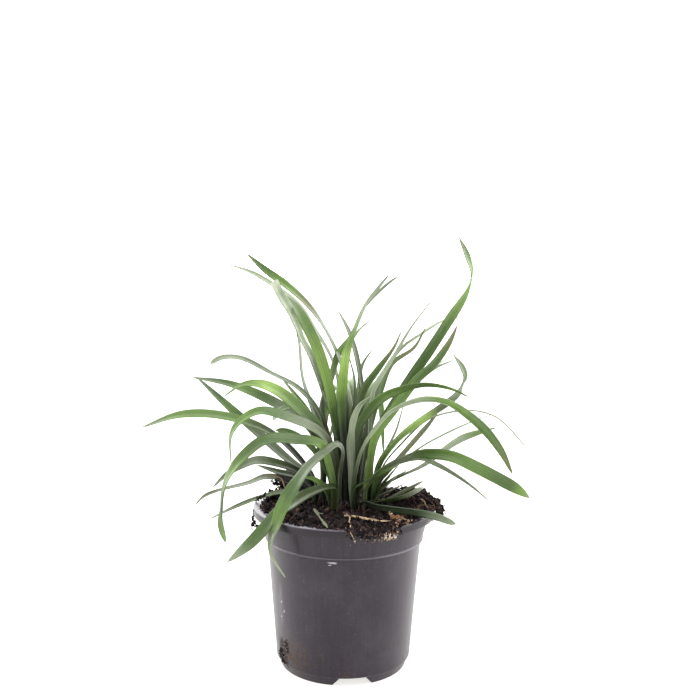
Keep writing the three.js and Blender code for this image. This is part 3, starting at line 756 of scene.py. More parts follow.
def sweep(
    mesh: bmesh.types.BMesh,
    spine: Spine,
    radius: Callable[[float], float],
    sides: int,
    step: float,
    flat: float = 1.0,
) -> list[bmesh.types.BMVert]:
    """Wraps a grid round a line, as a fibre or a root.

    Args:
        mesh: The mesh that takes it.
        spine: The line.
        radius: The radius at a share of the length.
        sides: The number of sides.
        step: The length of one row.
        flat: The height of the section as a share of its width.

    Returns:
        The vertices.
    """
    steep = 0.95
    rows = max(3, round(spine.length / step))
    verts = bmesh.ops.create_grid(mesh, x_segments=sides, y_segments=rows, size=1.0)["verts"]
    for vert in verts:
        share = (vert.co.y + 1) / 2
        angle = math.pi * (vert.co.x + 1)
        t = spine.passed(share)
        along = spine.tangent(t)
        side = along.cross(UP if abs(along.z) < steep else FRONT).normalized()
        over = side.cross(along)
        size = radius(share)
        vert.co = spine.point(t) + size * (math.cos(angle) * side + flat * math.sin(angle) * over)
    bmesh.ops.remove_doubles(mesh, verts=verts, dist=1e-4)
    return [vert for vert in verts if vert.is_valid]


def lathe(mesh: bmesh.types.BMesh, section: Sequence[tuple[float, float]], steps: int) -> None:
    """Spins a section round the axis into a form whose faces point outwards.

    Args:
        mesh: The mesh that takes it.
        section: The radii and heights that the section passes through.
        steps: The number of steps in the full turn.
    """
    verts = [mesh.verts.new((r, 0, z)) for r, z in section]
    edges = [mesh.edges.new(pair) for pair in zip(verts, verts[1:])]
    bmesh.ops.spin(
        mesh,
        geom=[*verts, *edges],
        cent=(0, 0, 0),
        axis=UP,
        angle=FULL_TURN,
        steps=steps,
        use_merge=True,
    )
    bmesh.ops.remove_doubles(mesh, verts=mesh.verts, dist=1e-3)
    bmesh.ops.recalc_face_normals(mesh, faces=mesh.faces)


def toned_mesh() -> bmesh.types.BMesh:
    """Starts a mesh whose vertices carry a tone.

    Returns:
        The mesh.
    """
    mesh = bmesh.new()
    mesh.verts.layers.float_color.new(TONE_LAYER)
    return mesh


def paint(mesh: bmesh.types.BMesh, verts: Sequence[bmesh.types.BMVert], tone: Vector) -> None:
    """Gives vertices a tone.

    Args:
        mesh: Their mesh.
        verts: The vertices.
        tone: The tone.
    """
    layer = mesh.verts.layers.float_color[TONE_LAYER]
    for vert in verts:
        vert[layer] = (*tone, 1.0)


class Tray:
    """Gathers many small forms in one mesh.

    An operator's work grows with the mesh it works on, so forms are made in a small mesh of
    their own, which is emptied into the whole when it has grown.
    """

    FULL = 900
    RAGGED = (0.68, 1.22)

    def __init__(self) -> None:
        """Starts with nothing in the tray."""
        self.whole = toned_mesh()
        self.small = toned_mesh()

    def empty(self) -> bmesh.types.BMesh:
        """Moves what is in the small mesh to the whole.

        Returns:
            The whole mesh.
        """
        data = bpy.data.meshes.new("tray")
        self.small.to_mesh(data)
        self.whole.from_mesh(data)
        bpy.data.meshes.remove(data)
        self.small.free()
        self.small = toned_mesh()
        return self.whole

    def room(self) -> bmesh.types.BMesh:
        """Makes room for another form.

        Returns:
            The small mesh.
        """
        if len(self.small.verts) > self.FULL:
            self.empty()
        return self.small

    def lump(
        self, draw: random.Random, place: Vector, size: Sequence[float], tone: Vector
    ) -> None:
        """Adds one irregular crumb.

        Args:
            draw: The random draws.
            place: Its middle.
            size: Its half sizes.
            tone: Its colour.
        """
        mesh = self.room()
        verts = bmesh.ops.create_icosphere(mesh, subdivisions=1, radius=1.0)["verts"]
        turn = Euler([draw.uniform(0, FULL_TURN) for _ in range(3)]).to_matrix().to_4x4()
        form = Matrix.Translation(place) @ turn @ Matrix.Diagonal((*size, 1.0))
        for vert in verts:
            vert.co = form @ (vert.co * draw.uniform(*self.RAGGED))
        paint(mesh, verts, tone)


# ---------- pot ----------


@dataclass
class NurseryPot:
    """The moulded pot: flat lip with a skirt, collar, step, tapering wall and notched foot."""

    finish: PotFinish
    height: float = 93.0
    wall: float = 1.2
    lip_radius: float = 52.5
    lip_drop: float = 4.4
    collar_top: float = 48.9
    collar_bottom: float = 45.7
    ledge: float = 74.5
    body_top: float = 44.5
    body_bottom: float = 39.0
    foot_top: float = 37.8
    foot_bottom: float = 36.5
    foot_height: float = 4.9
    blend: float = 0.4
    bead: float = 0.35
    bead_height: float = 1.0
    bead_end: tuple[float, float] = (0.05, 1.5)
    notch_angles: tuple[float, ...] = (-81.3, 38.7, 158.7)
    notch_wide: float = 22.5
    notch_narrow: float = 14.6
    notch_height: float = 4.7
    notch_drop: float = 1.0
    notch_reach: tuple[float, float] = (29.0, 45.0)
    drain_count: int = 6
    drain_radius: float = 3.5
    drain_circle: float = 24.0
    drain_sides: int = 28
    steps: int = 144
    round_over: float = 0.3
    rounded_past: float = 25.0
    crease: float = 30.0

    def outline(self) -> list[tuple[float, float]]:
        """Works out the section of the wall, from the middle of the floor outward.

        Returns:
            Its radii and heights.
        """
        skirt = self.height - self.lip_drop
        flange = self.height - self.wall
        floor = self.foot_height + self.wall
        return [
            (0, self.foot_height),
            (self.foot_top - self.wall, self.foot_height),
            (self.foot_bottom - self.wall, 0),
            (self.foot_bottom, 0),
            (self.foot_top, self.foot_height - self.blend),
            (self.body_bottom, self.foot_height + self.blend),
            (self.body_top, self.ledge - self.blend),
            (self.collar_bottom + self.bead, self.ledge + self.blend),
            (self.collar_bottom + self.bead, self.ledge + self.bead_height),
            (self.collar_bottom + self.bead_end[0], self.ledge + self.bead_end[1]),
            (self.collar_top, skirt),
            (self.collar_top + self.blend, flange),
            (self.lip_radius - self.wall, flange),
            (self.lip_radius - self.wall, skirt),
            (self.lip_radius, skirt),
            (self.lip_radius, self.height),
            (self.collar_top - self.wall, self.height),
            (self.collar_top - self.wall, skirt),
            (self.collar_bottom - self.wall, self.ledge + 2 * self.blend),
            (self.body_top - self.wall, self.ledge),
            (self.body_bottom - self.wall, floor + self.blend),
            (self.foot_top - self.wall, floor),
            (0, floor),
        ]

    def body_radius(self, height: float) -> float:
        """The radius of the tapering wall at a height."""
        slope = (self.body_top - self.body_bottom) / (self.ledge - self.foot_height)
        return self.body_bottom + slope * (height - self.foot_height)

    def collar_radius(self, height: float) -> float:
        """The radius of the collar at a height."""
        share = (height - self.ledge) / (self.height - self.lip_drop - self.ledge)
        return self.collar_bottom + share * (self.collar_top - self.collar_bottom)

    def shell(self) -> bmesh.types.BMesh:
        """Spins the section and rounds its edges.

        Returns:
            The pot without its openings.
        """
        mesh = bmesh.new()
        lathe(mesh, self.outline(), self.steps)
        past = math.radians(self.rounded_past)
        bmesh.ops.bevel(
            mesh,
            geom=[e for e in mesh.edges if e.is_manifold and e.calc_face_angle() > past],
            offset=self.round_over,
            offset_type="OFFSET",
            affect="EDGES",
            segments=2,
            profile=0.5,
            material=-1,
            clamp_overlap=True,
        )
        return mesh

    def tools(self) -> bmesh.types.BMesh:
        """Makes the wedges that cut the foot's notches and the rods that cut the drain holes.

        Returns:
            All of them in one mesh.
        """
        mesh = bmesh.new()
        flare = (self.notch_wide - self.notch_narrow) / 2 / self.notch_height
        near, far = self.notch_reach
        for angle in self.notch_angles:
            block = bmesh.ops.create_cube(mesh, size=1.0)["verts"]
            for vert in block:
                top = vert.co.z > 0
                half = self.notch_narrow / 2 if top else self.notch_wide / 2 + flare
                out = near + (far - near) * (vert.co.x + 0.5)
                z = self.notch_height if top else -self.notch_drop
                vert.co = Vector((out, math.copysign(half, vert.co.y), z))
            turn = Matrix.Rotation(math.radians(angle), 3, "Z")
            bmesh.ops.rotate(mesh, verts=block, matrix=turn)
        middle = self.foot_height + self.wall / 2
        for i in range(self.drain_count):
            rod = bmesh.ops.create_cone(
                mesh,
                cap_ends=True,
                segments=self.drain_sides,
                radius1=self.drain_radius,
                radius2=self.drain_radius,
                depth=4 * self.wall,
            )["verts"]
            to = around(FULL_TURN * i / self.drain_count, self.drain_circle, middle)
            bmesh.ops.translate(mesh, verts=rod, vec=to)
        bmesh.ops.recalc_face_normals(mesh, faces=mesh.faces)
        return mesh

    def build(self, bench: Bench) -> None:
        """Makes the pot and cuts its notches and drain holes.

        Args:
            bench: Where pieces are put.
        """
        cutter = bench.place(self.tools(), "pot_tools")
        plastic = self.finish.material(bench.axis)
        pot = bench.put(self.shell(), "nursery_pot", plastic, "pot", ["pot"], self.crease)
        cut = pot.modifiers.new("openings", "BOOLEAN")
        cut.operation = "DIFFERENCE"
        cut.solver = "EXACT"
        cut.object = cutter
        graph = bpy.context.evaluated_depsgraph_get()
        done = bpy.data.meshes.new_from_object(pot.evaluated_get(graph), depsgraph=graph)
        pot.modifiers.remove(cut)
        pot.data = done
        done.set_sharp_from_angle(angle=math.radians(self.crease))
        bpy.data.objects.remove(cutter)


# ---------- soil ----------


Mix = dict[Tone, int]


def graded(draw: random.Random, low: float, high: float, chance: float, larger: float) -> float:
    """Draws a size between two values, and now and then makes it larger by a factor."""
    return draw.uniform(low, high) * (larger if draw.random() < chance else 1.0)


def jitter(draw: random.Random, most: float) -> Vector:
    """Draws a small shift along each axis."""
    return Vector([draw.uniform(-most, most) for _ in range(3)])


@dataclass
class SoilBed:
    """The potting mix: a lumpy surface, heaped over the rim, with crumbs, fibres and perlite.

    Each mix says how often each tone is drawn. A swell of the surface has its x and y, its
    spread and its height.
    """

    DAMP = {T.PEAT: 40, T.EARTH: 38, T.LOAM: 18, T.BROWN: 4}
    HEAPED = {T.PEAT: 34, T.EARTH: 34, T.LOAM: 24, T.BROWN: 10, T.TAN: 2}
    ON_LIP = {T.PEAT: 52, T.EARTH: 32, T.LOAM: 13, T.BROWN: 5, T.TAN: 1}
    ON_SKIRT = {T.PEAT: 52, T.EARTH: 33, T.LOAM: 13, T.BROWN: 4, T.TAN: 1}
    WOODY = {T.EMBER: 4, T.TAN: 4, T.BARK: 5, T.STRAW: 2, T.BROWN: 5}
    DRIED = {T.LOAM: 3, T.BROWN: 4, T.TAN: 7, T.CHALK: 6}
    PALE = {T.TAN: 1, T.CHALK: 1}
    CLOTTED = {T.PEAT: 6, T.EARTH: 4, T.LOAM: 2}
    GRITTY = {T.LOAM: 4, T.BROWN: 4, T.BARK: 2}
    ROOTY = {T.BROWN: 4, T.LOAM: 5, T.TAN: 1, T.EARTH: 5}
    HANGING = {T.BROWN: 4, T.TAN: 1, T.LOAM: 8}

    finish: CrumbFinish
    pot: NurseryPot
    level: float = 88.6
    ripple: float = 0.45
    radius: float = 46.5
    clearance: float = 0.5
    rings: int = 62
    steps: int = 220
    swells: tuple[tuple[float, float, float, float], ...] = (
        (3, 8, 17, 2.6),
        (40, 13, 11, 8.5),
        (45, -4, 9, 3.5),
        (-42, -6, 12, 3.4),
        (2, -37, 7.5, 7.0),
        (20, -38, 9, 3.5),
        (31, -28, 6, 2.2),
        (-16, -16, 5, 3.2),
        (-31, 25, 7, 7),
    )
    crumb_count: int = 1500
    crumb_reach: float = 46.4
    heap_count: int = 560
    outside_count: int = 190
    lip_count: int = 520
    skirt_count: int = 300
    grain_counts: tuple[int, int] = (64, 75)
    fibre_count: int = 110
    hanging_count: int = 12
    seed: int = 7
    tray: Tray = field(default_factory=Tray)

    def rise(self, x: float, y: float) -> float:
        """Height of the surface, without its crumbs.

        Args:
            x: Place to the right of the axis.
            y: Place behind the axis.

        Returns:
            The height.
        """
        swell = sum(
            rise * math.exp(-((x - cx) ** 2 + (y - cy) ** 2) / (2 * spread**2))
            for cx, cy, spread, rise in self.swells
        )
        wave = math.sin(0.55 * x + 0.2 * y) + math.sin(0.5 * y - 0.3 * x + 1)
        return self.level + swell + self.ripple * wave

    def plug(self) -> None:
        """Adds the body of soil, with its surface broken up."""
        # The surface is spun at a height that nothing else has, and then lowered to its place.
        spun = 200.0
        inset = self.pot.wall + self.clearance
        floor = self.pot.foot_height + self.pot.wall + 0.35
        shoulder = (self.radius - 0.2, 84.0)
        section = [
            (0, floor),
            (self.pot.foot_top - inset, floor),
            (self.pot.body_top - inset, self.pot.ledge),
            shoulder,
            *((self.radius * (1 - i / self.rings), spun) for i in range(self.rings)),
            (0, spun),
        ]
        mesh = self.tray.whole
        lathe(mesh, section, self.steps)
        layer = mesh.verts.layers.float_color[TONE_LAYER]
        dark, light = T.PEAT.color, T.LOAM.color
        for vert in mesh.verts:
            x, y = vert.co.x, vert.co.y
            clod = noise.fractal(Vector((x, y, 3.0)) * 0.33, 0.9, 2.1, 5)
            if vert.co.z > spun - 1:
                vert.co.z = self.rise(x, y) + 0.9 * clod
            vert[layer] = (*dark.lerp(light, ease(clod, -0.5, 0.9)), 1.0)

    def tone(self, draw: random.Random, mix: Mix = DAMP) -> Vector:
        """Draws the colour of one crumb.

        Args:
            draw: The random draws.
            mix: Tones and how often each is drawn.

        Returns:
            The colour.
        """
        return draw.choices(list(mix), list(mix.values()))[0].color * draw.uniform(0.75, 1.25)

    def crumb(
        self,
        draw: random.Random,
        place: Vector,
        size: float,
        shape: Sequence[float],
        mix: Mix = DAMP,
    ) -> None:
        """Adds one crumb.

        Args:
            draw: The random draws.
            place: Its middle.
            size: Its size.
            shape: Its length, width and height, as shares of its size.
            mix: Tones and how often each is drawn.
        """
        form = [size * share for share in shape]
        self.tray.lump(draw, place, form, self.tone(draw, mix))

    def crumbs(self) -> None:
        """Scatters crumbs over the whole surface."""
        draw = random.Random(self.seed)
        for _ in range(self.crumb_count):
            angle = draw.uniform(-math.pi, math.pi)
            reach = self.crumb_reach * math.sqrt(draw.random())
            x, y = reach * math.cos(angle), reach * math.sin(angle)
            size = graded(draw, 0.35, 1.0, chance=0.12, larger=2.0)
            place = Vector((x, y, self.rise(x, y) + 0.3 * size + draw.uniform(0, 0.9)))
            self.crumb(draw, place, size, (draw.uniform(1.0, 1.9), 0.75, 0.6))

    def rim(self) -> None:
        """Lays crumbs on the lip, thickest at the front."""
        draw = random.Random(self.seed + 5)
        inner = 46.2
        # First and last angle in degrees, number of crumbs and outermost distance.
        runs = (
            (-150, -88, 210, 50.4),
            (-40, -20, 60, 50.5),
            (-176, -150, 60, 48.6),
            (150, 196, 60, 48.8),
        )
        for low, high, count, outer in runs:
            for _ in range(count):
                angle = math.radians(draw.uniform(low, high))
                reach = inner + (outer - inner) * draw.random() ** 1.4
                size = draw.uniform(0.4, 1.1)
                place = around(angle, reach, self.pot.height + 0.25 * size)
                self.crumb(draw, place, size, (draw.uniform(1, 1.8), 0.8, 0.55))

    def heap(self) -> None:
        """Heaps lumps over the rim on the right, with some that hang outside it."""
        draw = random.Random(self.seed + 12)
        for _ in range(self.heap_count):
            angle = math.radians(draw.triangular(low=-24, high=54, mode=10))
            reach = draw.uniform(38, self.pot.lip_radius)
            x, y = reach * math.cos(angle), reach * math.sin(angle)
            crest = 94.2 + 2.4 * math.exp(-(((math.degrees(angle) - 12) / 18) ** 2))
            base = max(self.pot.height + 0.3, min(self.rise(x, y) + 1.0, crest))
            size = graded(draw, 0.45, 1.3, chance=0.1, larger=1.7)
            z = base + draw.uniform(-0.4, 2.6) * (1 - abs(reach - 45) / 12)
            tone = self.tone(draw, self.HEAPED)
            form = [size * share for share in (draw.uniform(1, 1.8), 0.75, 0.65)]
            self.tray.lump(draw, Vector((x, y, z)), form, tone)
        for _ in range(self.outside_count):
            angle = math.radians(draw.triangular(low=-14, high=9, mode=-4))
            drop = draw.random() ** 1.4
            reach = draw.uniform(52.3, 55.2) + 2.4 * drop
            place = around(angle, reach, 96.0 - 7.8 * drop + draw.uniform(-0.8, 0.8))
            size = draw.uniform(0.4, 1.2) * (1 - 0.4 * drop)
            self.crumb(draw, place, size, (1, 0.8, draw.uniform(1, 1.9)))

    def clods(self) -> None:
        """Builds jagged clods of crumbs that stand up from the heap and hang at both sides."""
        draw = random.Random(self.seed + 18)
        # Start, end, size at the start, size at the end and number of crumbs.
        strings = (
            ((23, 10, 99), (24, 9, 104), 1.5, 0.7, 11),
            ((32, 9, 97), (34.4, 8, 100.4), 1.5, 0.6, 10),
            ((38, 10, 98.5), (43, 6, 98), 1.5, 1, 14),
            ((48, 1, 95.5), (52.6, 0, 98.7), 1.4, 0.5, 14),
            ((47, -2, 96.5), (50.4, -1, 96.8), 1.2, 0.7, 10),
            ((54, -2, 94), (57.4, -1, 92.6), 1.5, 0.8, 12),
            ((56.6, -2, 92.6), (59.6, -1, 87.6), 1.2, 0.35, 14),
            ((55.4, -4, 92), (57, -4, 86.9), 1, 0.35, 12),
            ((-51.9, -6, 92), (-52.6, -6, 85), 1, 0.9, 14),
            ((-52.4, -6.4, 85.5), (-49.6, -9, 79.6), 1.5, 0.6, 20),
            ((-52.6, -7.4, 83.6), (-53.4, -8, 80.2), 1.2, 0.5, 10),
            ((-30, 14, 97), (-43, 15, 103), 2.4, 1.2, 30),
            ((-32, 16, 95), (-45, 15, 96.6), 2.2, 1.1, 28),
            ((-34, 15, 99), (-40, 14, 99), 2, 1.2, 16),
            ((-51.7, 4, 93.4), (-49.4, 4, 96.4), 1, 0.6, 10),
            ((-49.6, 4, 95), (-46, 5, 98.2), 1.2, 0.7, 12),
            ((-50.5, 3, 94), (-51.8, 4, 96.6), 0.8, 0.4, 7),
        )
        for start, end, first, last, count in strings:
            for i in range(count):
                share = i / (count - 1)
                size = (first + (last - first) * share) * draw.uniform(0.6, 1.0)
                place = Vector(start).lerp(Vector(end), share)
                place += Vector([draw.uniform(-0.55, 0.55) * first for _ in range(3)])
                self.crumb(draw, place, size, (draw.uniform(0.9, 1.5), 0.7, 0.7))

    def spill(self) -> None:
        """Lets soil lie over the lip at the right front, with bark and grains in it."""
        draw = random.Random(self.seed + 25)
        self.overflow(draw)
        self.bark_bits(draw)
        self.pale_grains(draw)

    def overflow(self, draw: random.Random) -> None:
        """Lays soil on the lip and down the face of its skirt.

        Args:
            draw: The random draws.
        """
        for _ in range(self.lip_count):
            angle = math.radians(draw.triangular(low=-92, high=-34, mode=-66))
            reach = draw.uniform(44, 52.6)
            size = draw.uniform(0.35, 1.15)
            lift = draw.uniform(-0.3, 1.7) * (1 - (reach - 44) / 12)
            place = around(angle, reach, self.pot.height + 0.2 * size + lift)
            self.crumb(draw, place, size, (draw.uniform(1, 1.8), 0.7, 0.6), self.ON_LIP)
        for _ in range(self.skirt_count):
            degrees = draw.triangular(low=-91, high=-50, mode=-68)
            fall = draw.random() ** 1.5 * (1.0 if degrees > -86 else 0.6)
            z = self.pot.height + 0.4 - (self.pot.lip_drop + 0.9) * fall
            size = draw.uniform(0.25, 0.95) * (1 - 0.35 * fall)
            place = around(math.radians(degrees), self.pot.lip_radius + 0.35 * size, z)
            self.crumb(draw, place, size, (draw.uniform(1, 1.7), 0.7, 1), self.ON_SKIRT)

    def bark_bits(self, draw: random.Random) -> None:
        """Strews strings of small bark over the soil on the lip.

        Args:
            draw: The random draws.
        """
        strings = (
            ((24.5, -27, 95.4), (36, -39, 94.6), 17),
            ((30, -35, 94.9), (28.5, -45.5, 94.3), 12),
            ((34.5, -37, 94.9), (33, -43.5, 94.3), 7),
        )
        for start, end, count in strings:
            for i in range(count):
                place = Vector(start).lerp(Vector(end), i / (count - 1)) + jitter(draw, 0.9)
                size = draw.uniform(0.4, 0.85)
                self.crumb(draw, place, size, (draw.uniform(1.2, 2.2), 0.7, 0.7), self.WOODY)

    def pale_grains(self, draw: random.Random) -> None:
        """Sticks dried grains to the skirt and the collar.

        Args:
            draw: The random draws.
        """
        for _ in range(self.grain_counts[0]):
            angle = math.radians(draw.triangular(low=-70, high=-54, mode=-62))
            z = 90.4 - 3.6 * draw.random() ** 1.1
            size = draw.uniform(0.35, 0.95)
            place = around(angle, self.pot.lip_radius - 0.3 + 0.2 * size, z)
            self.crumb(draw, place, size, (draw.uniform(1, 1.7), 0.7, 1), self.DRIED)
        for _ in range(self.grain_counts[1]):
            angle = math.radians(draw.triangular(low=-94, high=-52, mode=-64))
            z = 88.0 - 4.5 * draw.random() ** 1.5
            size = draw.uniform(0.15, 0.42)
            place = around(angle, self.pot.collar_radius(z), z)
            self.crumb(draw, place, size, (1, 0.7, 1), self.DRIED)
        strays = (
            (6.0, -49.2, 86.6, 0.75),
            (16.6, -47.8, 86.9, 0.6),
            (47.2, -26.4, 89.6, 0.8),
            (49.2, -23.4, 90.6, 0.7),
            (46.0, -27.6, 87.6, 0.6),
        )
        for *place, size in strays:
            self.crumb(draw, Vector(place), size, (1, 0.7, 1), self.PALE)

    def grime(self) -> None:
        """Sticks damp clots and grit to the foot of the wall at the left front."""
        draw = random.Random(self.seed + 31)
        # Angle in degrees, height, spread of each, number of bits, largest size and mix.
        patches = (
            (-142.5, 17.5, 2.0, 4.0, 26, 0.75, self.CLOTTED),
            (-153.5, 10.5, 4.0, 3.2, 34, 0.85, self.CLOTTED),
            (-149.0, 6.8, 3.5, 1.3, 24, 0.75, self.CLOTTED),
            (-134.0, 14.0, 14.0, 7.0, 150, 0.26, self.GRITTY),
        )
        lowest = 5.6
        for degrees, middle, spread, tall, count, largest, mix in patches:
            for _ in range(count):
                angle = math.radians(degrees + spread * draw.gauss(0, 0.6))
                z = max(lowest, middle + tall * draw.gauss(0, 0.6))
                size = largest * draw.uniform(0.35, 1.0)
                place = around(angle, self.pot.body_radius(z), z)
                self.crumb(draw, place, size, (1, 0.8, 0.6), mix)

    def fibre(
        self,
        draw: random.Random,
        path: Sequence[Vector],
        radius: float,
        mix: Mix = ROOTY,
    ) -> None:
        """Adds one fine root or fibre.

        Args:
            draw: The random draws.
            path: The points that it passes through.
            radius: Its radius at the thick end.
            mix: Tones and how often each is drawn.
        """

        def thin(share: float) -> float:
            """Its radius at a share of its length."""
            return radius * (1 - 0.6 * share) * min(1.0, 8 * (1 - share) + 0.05)

        mesh = self.tray.room()
        verts = sweep(mesh, Spine(path), thin, sides=4, step=1.6)
        paint(mesh, verts, self.tone(draw, mix))

    def fibres(self) -> None:
        """Lays fibres over the soil, and hangs some over the rim at the right front."""
        draw = random.Random(self.seed + 40)
        for _ in range(self.fibre_count):
            angle = draw.uniform(-math.pi, math.pi)
            spot = around(angle, 44 * math.sqrt(draw.random()))
            heading = draw.uniform(-math.pi, math.pi)
            path = []
            for _ in range(4):
                spot = spot + around(heading) * draw.uniform(1.2, 3.6)
                heading += draw.uniform(-0.9, 0.9)
                if spot.xy.length < 46:
                    lift = self.rise(spot.x, spot.y) + draw.uniform(0.2, 1.8)
                    path.append(Vector((spot.x, spot.y, lift)))
            if len(path) > 2:
                self.fibre(draw, path, draw.uniform(0.12, 0.32))
        for _ in range(self.hanging_count):
            out = around(math.radians(draw.triangular(low=-90, high=-56, mode=-80)))
            side = Vector((-out.y, out.x, 0))
            fall = draw.uniform(2.5, 6.5)
            path = [out * 49 + UP * 94.2, out * 52.3 + UP * 94.0]
            for share in (0.5, 1.0):
                aside = side * draw.uniform(-1.2, 1.2)
                path.append(out * (53.2 + 0.2 * share) + aside + UP * (93.6 - fall * share))
            self.fibre(draw, path, draw.uniform(0.16, 0.34), self.HANGING)
        self.roots(draw)

    def roots(self, draw: random.Random) -> None:
        """Lays the longer roots, one by one.

        Args:
            draw: The random draws.
        """
        # Radius, tone and the points that each passes through.
        courses = (
            (0.36, T.TAN, (
                (3.6, -46, 94.3), (3.4, -50.6, 94.3), (3.4, -53.1, 93), (4.8, -53.2, 90.2),
                (5.8, -50.8, 87.2),
            )),
            (0.34, T.TAN, (
                (43.5, -10, 99.4), (45.6, -12, 98.8), (46.2, -12, 96.4), (48.6, -12, 93.8),
            )),
            (0.3, T.BROWN, (
                (49.6, -10, 97.6), (51.4, -12, 96.2), (51.2, -12, 93.4), (47.6, -12.5, 93.8),
            )),
            (0.3, T.BROWN, (
                (41, -12, 95.6), (44.5, -13, 96.8), (48.5, -13.5, 95.8), (51, -13.6, 94.6),
            )),
            (0.34, T.EARTH, ((48, 2, 94), (53.6, 0, 97.4), (57.6, -1, 95), (59, -1, 90.6))),
            (0.36, T.EARTH, (
                (33, -38.6, 94), (38.6, -35.6, 93.6), (43.6, -31, 93.7), (46.6, -26.6, 94.2),
            )),
            (0.26, T.TAN, ((44.6, -26.6, 94.4), (46.8, -27, 92.6), (47.6, -26.6, 89.6))),
            (0.42, T.CHALK, (
                (-40.4, -14, 91.8), (-43, -14, 90.9), (-45.4, -14.2, 90.2), (-47.2, -14.4, 93.4),
            )),
            (0.5, T.OLIVE, ((-36, 9, 96), (-37.4, 10, 99.6), (-39.4, 12, 99.4))),
            (0.55, T.TAN, (
                (-34.6, 12, 97), (-35.8, 12, 101), (-37.8, 12, 105.2), (-43.6, 12, 106.6),
                (-48.9, 12, 107.9),
            )),
            (0.45, T.TAN, (
                (-37, 12, 97), (-38.6, 12.6, 99.2), (-40.6, 12, 99.6), (-41.4, 12, 97.6),
            )),
        )
        for radius, tone, points in courses:
            self.fibre(draw, [Vector(point) for point in points], radius, {tone: 1})

    def build(self, bench: Bench) -> None:
        """Makes the soil.

        Args:
            bench: Where pieces are put.
        """
        over = (self.crumbs, self.rim, self.heap, self.clods, self.spill, self.grime, self.fibres)
        for lay in (self.plug, *over):
            lay()
        crease = 50
        skin = self.finish.material()
        bench.put(self.tray.empty(), "potting_mix", skin, "soil", ["soil"], crease)


# ---------- what lies on the soil ----------


